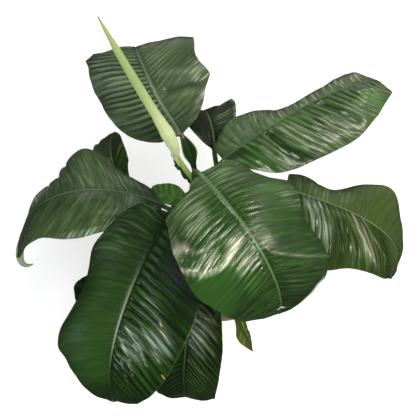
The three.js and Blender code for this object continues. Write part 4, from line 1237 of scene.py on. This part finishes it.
def addBud(bud):
    finish = spatheFinish(bud)
    rings, marks, base = budSkin(bud)
    piece = skinObject("flowerBud", rings, finish)
    setMarks(piece, marks)
    flap = skinObject("budTongue", tongueSkin(bud, base), finish)
    setMarks(flap, bud["tongueMarks"])
    for part in (piece, flap):
        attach(part, "root")
    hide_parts("flower_bud")


addBud(flowerBud)
print("flower bud made")


# the grower's pot, turned about its middle
growerPot = {
    "height": 185,
    "rimRadius": 101,
    "rimDepth": 15,
    "wallRadius": 97,
    "footRadius": 70,
    "wall": 2.2,
    "floor": 3,
    "bead": (28, 33),  # a low band round the wall, from and to
    "rounding": 1.6,
    "sides": 160,
    "drainCount": 6,
    "drainRadius": 5,
    "drainRing": 44,
    "drainSides": 24,
    "dustHeight": 45,
    "rimWorn": 4,  # how far down from the top
    "clay": (112, 96, 91),
    "shade": (84, 70, 67),
    "worn": (150, 134, 126),
    "dust": (168, 152, 134),
}


def turned(outline, sides):
    # Rings about the middle, one for each radius and height of the outline.
    turn = np.arange(sides) / sides * 2 * np.pi
    return [np.stack([r * np.cos(turn), r * np.sin(turn), 0 * turn + z], -1) for r, z in outline]


def rounded(outline, radius, steps=4):
    # Rounds each corner of a closed outline of radius and height.
    made = []
    count = len(outline)
    for i, here in enumerate(outline):
        here = np.array(here, float)
        before, after = np.array(outline[i - 1], float), np.array(outline[(i + 1) % count], float)
        cut = min(radius, np.linalg.norm(before - here) * 0.45, np.linalg.norm(after - here) * 0.45)
        start = here + unit(before - here) * cut
        end = here + unit(after - here) * cut
        for j in range(steps + 1):
            s = j / steps
            made.append(tuple((1 - s) ** 2 * start + 2 * (1 - s) * s * here + s * s * end))
    return made


def potFinish(pot):
    material, tree, shader = newMaterial("growerPotPlastic")
    place = placeOf(tree)
    tall = addNode(tree, "ShaderNodeSeparateXYZ", {0: place}).outputs[2]
    cloud = mottled(tree, place, 14.0, 0.2)
    flow = addNode(tree, "ShaderNodeMapping", {"Vector": place, "Scale": (6.0, 6.0, 40.0)}).outputs[0]
    streak = noiseOf(tree, flow, 3.0, 4.0)
    grit = noiseOf(tree, place, 900.0, 2.0)
    nearFoot = ranged(tree, tall, 0.0, pot["dustHeight"] * metre, 1.0, 0.0)
    nearRim = ranged(tree, tall, (pot["height"] - pot["rimWorn"]) * metre, pot["height"] * metre)
    wall = laid(
        tree,
        pot,
        "clay",
        (ranged(tree, cloud, 0.0, 1.0, 0.0, 0.5), "shade"),
        (times(tree, ranged(tree, streak, 0.45, 0.7), 0.25), "worn"),
        (times(tree, nearFoot, cloud, 0.6), "dust"),
        (times(tree, nearRim, 0.5), "worn"),
    )
    feed(tree, shader.inputs["Base Color"], wall)
    feed(tree, shader.inputs["Roughness"], ranged(tree, cloud, 0.0, 1.0, 0.52, 0.68))
    bumped(tree, shader, maths(tree, "ADD", grit, times(tree, streak, 1.5)), 0.25, 0.0003)
    return material


def wallAt(pot, z):
    return mixed(pot["footRadius"], pot["wallRadius"], z / pot["height"])


def addPot(pot):
    height, thick, floor = pot["height"], pot["wall"], pot["floor"]
    foot, rim = pot["footRadius"], pot["rimRadius"]
    under = height - pot["rimDepth"]
    low, high = pot["bead"]
    outline = [(foot - 8, 1.2), (foot - 6, 0), (foot, 0), (wallAt(pot, 6), 6)]
    for z, out in ((low, 0.1), (low + 1, 0.7), (high - 1, 0.7), (high, 0.1)):
        outline.append((wallAt(pot, z) + out, z))
    outline += [(wallAt(pot, z), z) for z in (under - 12, under)]
    outline += [(rim - 1.2, under + 1), (rim, under + 3), (rim - 0.4, under + 7), (rim, height - 2.5)]
    outline += [(rim - 1.4, height), (rim - thick * 1.2, height - 0.6)]
    outline += [(wallAt(pot, under) - thick + 0.6, under + 4), (wallAt(pot, under) - thick, under)]
    outline += [(wallAt(pot, floor) - thick, floor + 1), (wallAt(pot, floor) - thick - 3, floor)]
    outline += [(2, floor), (2, 1.2)]
    rings = np.array(turned(rounded(outline, pot["rounding"]), pot["sides"]))
    wall = skinObject("growerPot", rings, potFinish(pot), looped=True)
    cutDrains(wall, pot)
    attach(wall, "root")
    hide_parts("pot")


def cutDrains(wall, pot):
    # The drain holes are cut by one mesh of round plugs, which is then thrown away.
    points, faces = [], []
    around = pot["drainSides"]
    radius = pot["drainRadius"]
    for i in range(pot["drainCount"]):
        x = pot["drainRing"] * math.cos(2 * math.pi * i / pot["drainCount"])
        y = pot["drainRing"] * math.sin(2 * math.pi * i / pot["drainCount"])
        first = len(points)
        for z in (-3, pot["floor"] + 3):
            for k in range(around):
                turn = 2 * math.pi * k / around
                spot = (x + radius * math.cos(turn), y + radius * math.sin(turn), z)
                points.append(tuple(p * metre for p in spot))
        faces.append(tuple(first + k for k in reversed(range(around))))
        faces.append(tuple(first + around + k for k in range(around)))
        for k in range(around):
            m = (k + 1) % around
            faces.append((first + k, first + m, first + around + m, first + around + k))
    plugs = newPiece("drainPlugs", points, faces)
    cut = wall.modifiers.new("drains", "BOOLEAN")
    cut.operation = "DIFFERENCE"
    cut.solver = "EXACT"
    cut.object = plugs
    graph = bpy.context.evaluated_depsgraph_get()
    made = bpy.data.meshes.new_from_object(wall.evaluated_get(graph))
    wall.modifiers.clear()
    wall.data = made
    bpy.data.objects.remove(plugs)


addPot(growerPot)
print("pot made")


# potting mix: a lumpy bed with bark and white grit lying on it
pottingMix = {
    "seed": 61,
    "top": soilTop,
    "mound": 4,
    "low": 3.4,
    "clearance": 0.7,  # from the pot's wall
    "radius": 91,
    "rings": 46,
    "sides": 150,
    "lump": 1.6,
    "lumpWaves": 22,
    "crumbs": 620,
    "barkSize": (1.0, 3.4),
    "barkFlat": (0.3, 0.7),
    "grit": 60,  # how many of the crumbs are white
    "gritSize": (1.1, 2.2),
    "gritFlat": 0.8,
    "dark": (38, 27, 20),
    "brown": (74, 52, 36),
    "bark": (96, 66, 44),
    "white": (198, 192, 178),
}


def bedHeight(mix, x, y):
    radius = np.hypot(x, y)
    share = 1 - np.clip(radius / mix["radius"], 0, 1)
    rng = np.random.default_rng(mix["seed"])
    lumps = 0
    for _ in range(mix["lumpWaves"]):
        fast = rng.uniform(0.05, 0.45)
        way = rng.uniform(0, 2 * np.pi)
        lumps = lumps + np.sin(fast * (x * np.cos(way) + y * np.sin(way)) + rng.uniform(0, 6.3))
    edge = smoothed(mix["radius"], mix["radius"] - 7, radius)
    return mix["top"] + mix["mound"] * np.sin(np.pi / 2 * share) + mix["lump"] * 0.3 * lumps * edge


def soilFinish(mix):
    material, tree, shader = newMaterial("pottingMixCrumb")
    place = placeOf(tree)
    tint = attributeOf(tree, "crumbTint")
    cloud = mottled(tree, place, 160.0, 0.25)
    earth = laid(
        tree,
        mix,
        "dark",
        (cloud, "brown"),
        (times(tree, mottled(tree, place, 28.0, 0.2), 0.5), "dark"),
        (ranged(tree, tint, 0.2, 0.6), "bark"),
        (ranged(tree, tint, 0.8, 0.95), "white"),
    )
    feed(tree, shader.inputs["Base Color"], earth)
    feed(tree, shader.inputs["Roughness"], ranged(tree, cloud, 0.0, 1.0, 0.82, 0.97))
    grain = noiseOf(tree, place, 700.0, 4.0)
    bumped(tree, shader, maths(tree, "ADD", grain, times(tree, cloud, 1.5)), 0.8, 0.0012)
    return material


def addSoil(mix, pot):
    finish = soilFinish(mix)

    def sideAt(z):
        return wallAt(pot, z) - pot["wall"] - mix["clearance"]

    low, top, sides = mix["low"], mix["top"], mix["sides"]
    rings = turned([(0.5, low), (sideAt(low), low), (sideAt(top) - 0.5, top - 3)], sides)
    edge = sideAt(top)
    turn = np.arange(sides) / sides * 2 * np.pi
    for share in np.linspace(1, 0.006, mix["rings"]):
        x, y = edge * share * np.cos(turn), edge * share * np.sin(turn)
        rings.append(np.stack([x, y, bedHeight(mix, x, y)], -1))
    bed = skinObject("pottingMix", np.array(rings), finish)
    rng = np.random.default_rng(mix["seed"] + 1)
    points, faces, tints = [], [], []
    for i in range(mix["crumbs"]):
        radius = edge * 0.97 * math.sqrt(rng.uniform())
        way = rng.uniform(0, 2 * np.pi)
        x, y = radius * np.cos(way), radius * np.sin(way)
        isGrit = i < mix["grit"]
        size = rng.uniform(*mix["gritSize" if isGrit else "barkSize"])
        flat = mix["gritFlat"] if isGrit else rng.uniform(*mix["barkFlat"])
        addCrumb(points, faces, rng, (x, y, float(bedHeight(mix, x, y)) + size * flat * 0.3), size, flat)
        tints += [rng.uniform(0.9, 1.0) if isGrit else rng.uniform(0.0, 0.6)] * (len(points) - len(tints))
    crumbs = newPiece("mixCrumbs", points, faces, finish)
    tintLayer = crumbs.data.attributes.new("crumbTint", "FLOAT", "POINT")
    tintLayer.data.foreach_set("value", np.array(tints, np.float32))
    for piece in (bed, crumbs):
        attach(piece, "root")
    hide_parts("soil")


def addCrumb(points, faces, rng, middle, size, flat, around=7):
    # A knobbly bit: a ball of three rings whose points are pushed about, turned and flattened.
    first = len(points)
    spin = rng.uniform(0, 2 * np.pi)
    stretch = rng.uniform(1.0, 1.9)
    spots = [(0, 0, -1)]
    for tall in (-0.5, 0.1, 0.62):
        for k in range(around):
            turn = 2 * np.pi * (k + rng.uniform(-0.2, 0.2)) / around
            wide = math.sqrt(1 - tall * tall) * rng.uniform(0.75, 1.15)
            spots.append((wide * math.cos(turn), wide * math.sin(turn), tall))
    spots.append((0, 0, 1))
    for x, y, z in spots:
        x *= stretch
        u, v = x * math.cos(spin) - y * math.sin(spin), x * math.sin(spin) + y * math.cos(spin)
        points.append(tuple((m + size * p) * metre for m, p in zip(middle, (u, v, z * flat))))
    ringStarts = [first + 1 + r * around for r in range(3)]
    for k in range(around):
        m = (k + 1) % around
        faces.append((first, ringStarts[0] + m, ringStarts[0] + k))
        for a, b in zip(ringStarts[:-1], ringStarts[1:]):
            faces.append((a + k, a + m, b + m, b + k))
        faces.append((ringStarts[2] + k, ringStarts[2] + m, ringStarts[2] + around))


addSoil(pottingMix, growerPot)
print("potting mix made")


# floor, light and camera (these lengths are metres)
studio = {
    "floorSize": 8.0,
    "floorPale": (250, 250, 250),
    "floorRough": 0.9,
    "floorGlow": 0.16,  # keeps the plant's own shade on the floor faint
    "sky": (255, 255, 255),
    "skyPower": 0.42,
    "skyShine": 0.04,  # how bright the sky is where a leaf mirrors it
    "lights": [
        # name, place, aims at, size, power in watts, colour, mirrored by the leaves
        ("softFront", (0.2, -1.0, 2.5), (0, 0, 0.3), (1.4, 1.2), 38, (255, 255, 255), False),
        ("keyRight", (1.05, -0.85, 2.2), (0, 0, 0.4), (0.9, 0.6), 32, (255, 249, 236), True),
        ("sideRight", (0.9, 1.25, 1.9), (0, 0, 0.35), (0.7, 0.35), 11, (255, 250, 240), True),
        ("windowLeft", (-1.95, -0.75, 1.1), (0, 0, 0.35), (0.9, 0.35), 11, (230, 240, 255), True),
        ("wallBack", (0.2, 1.7, 0.4), (0, 0, 0.35), (2.4, 0.8), 4, (250, 250, 250), True),
    ],
    "cameraPlace": (-0.025, -0.486, 1.342),
    "cameraAim": (-0.025, 0.0, 0.3),
    "lens": 71.65,
    "sensor": 36,
}


def aimed(thing, place, target):
    thing.location = place
    thing.rotation_euler = (Vector(target) - Vector(place)).to_track_quat("-Z", "Y").to_euler()
    bpy.context.scene.collection.objects.link(thing)


def addStudio(room):
    scene = bpy.context.scene
    material, tree, shader = newMaterial("paleFloor")
    shader.inputs["Base Color"].default_value = colour(*room["floorPale"])
    shader.inputs["Roughness"].default_value = room["floorRough"]
    shader.inputs["Emission Color"].default_value = colour(*room["floorPale"])
    shader.inputs["Emission Strength"].default_value = room["floorGlow"]
    half = room["floorSize"] / 2
    corners = [(-half, -half, 0), (half, -half, 0), (half, half, 0), (-half, half, 0)]
    floor = newPiece("studioFloor", corners, [(0, 1, 2, 3)], material)
    floor.visible_glossy = False  # the leaves mirror the dim room instead

    world = bpy.data.worlds.new("studioSky")
    world.use_nodes = True
    sky = world.node_tree.nodes["Background"]
    sky.inputs["Color"].default_value = colour(*room["sky"])
    isMirrored = addNode(world.node_tree, "ShaderNodeLightPath", {}).outputs["Is Glossy Ray"]
    power = ranged(world.node_tree, isMirrored, 0.0, 1.0, room["skyPower"], room["skyShine"], "LINEAR")
    feed(world.node_tree, sky.inputs["Strength"], power)
    scene.world = world
    for name, place, target, size, power, tint, mirrored in room["lights"]:
        lamp = bpy.data.lights.new(name, "AREA")
        lamp.shape = "RECTANGLE"
        lamp.size, lamp.size_y = size
        lamp.energy = power
        lamp.color = colour(*tint)[:3]
        holder = bpy.data.objects.new(name, lamp)
        holder.visible_glossy = mirrored
        aimed(holder, place, target)

    lens = bpy.data.cameras.new("photoCamera")
    lens.lens = room["lens"]
    lens.sensor_width = room["sensor"]
    camera = bpy.data.objects.new("photoCamera", lens)
    aimed(camera, room["cameraPlace"], room["cameraAim"])
    scene.camera = camera
    scene.view_settings.view_transform = "Standard"


addStudio(studio)
print("studio made")
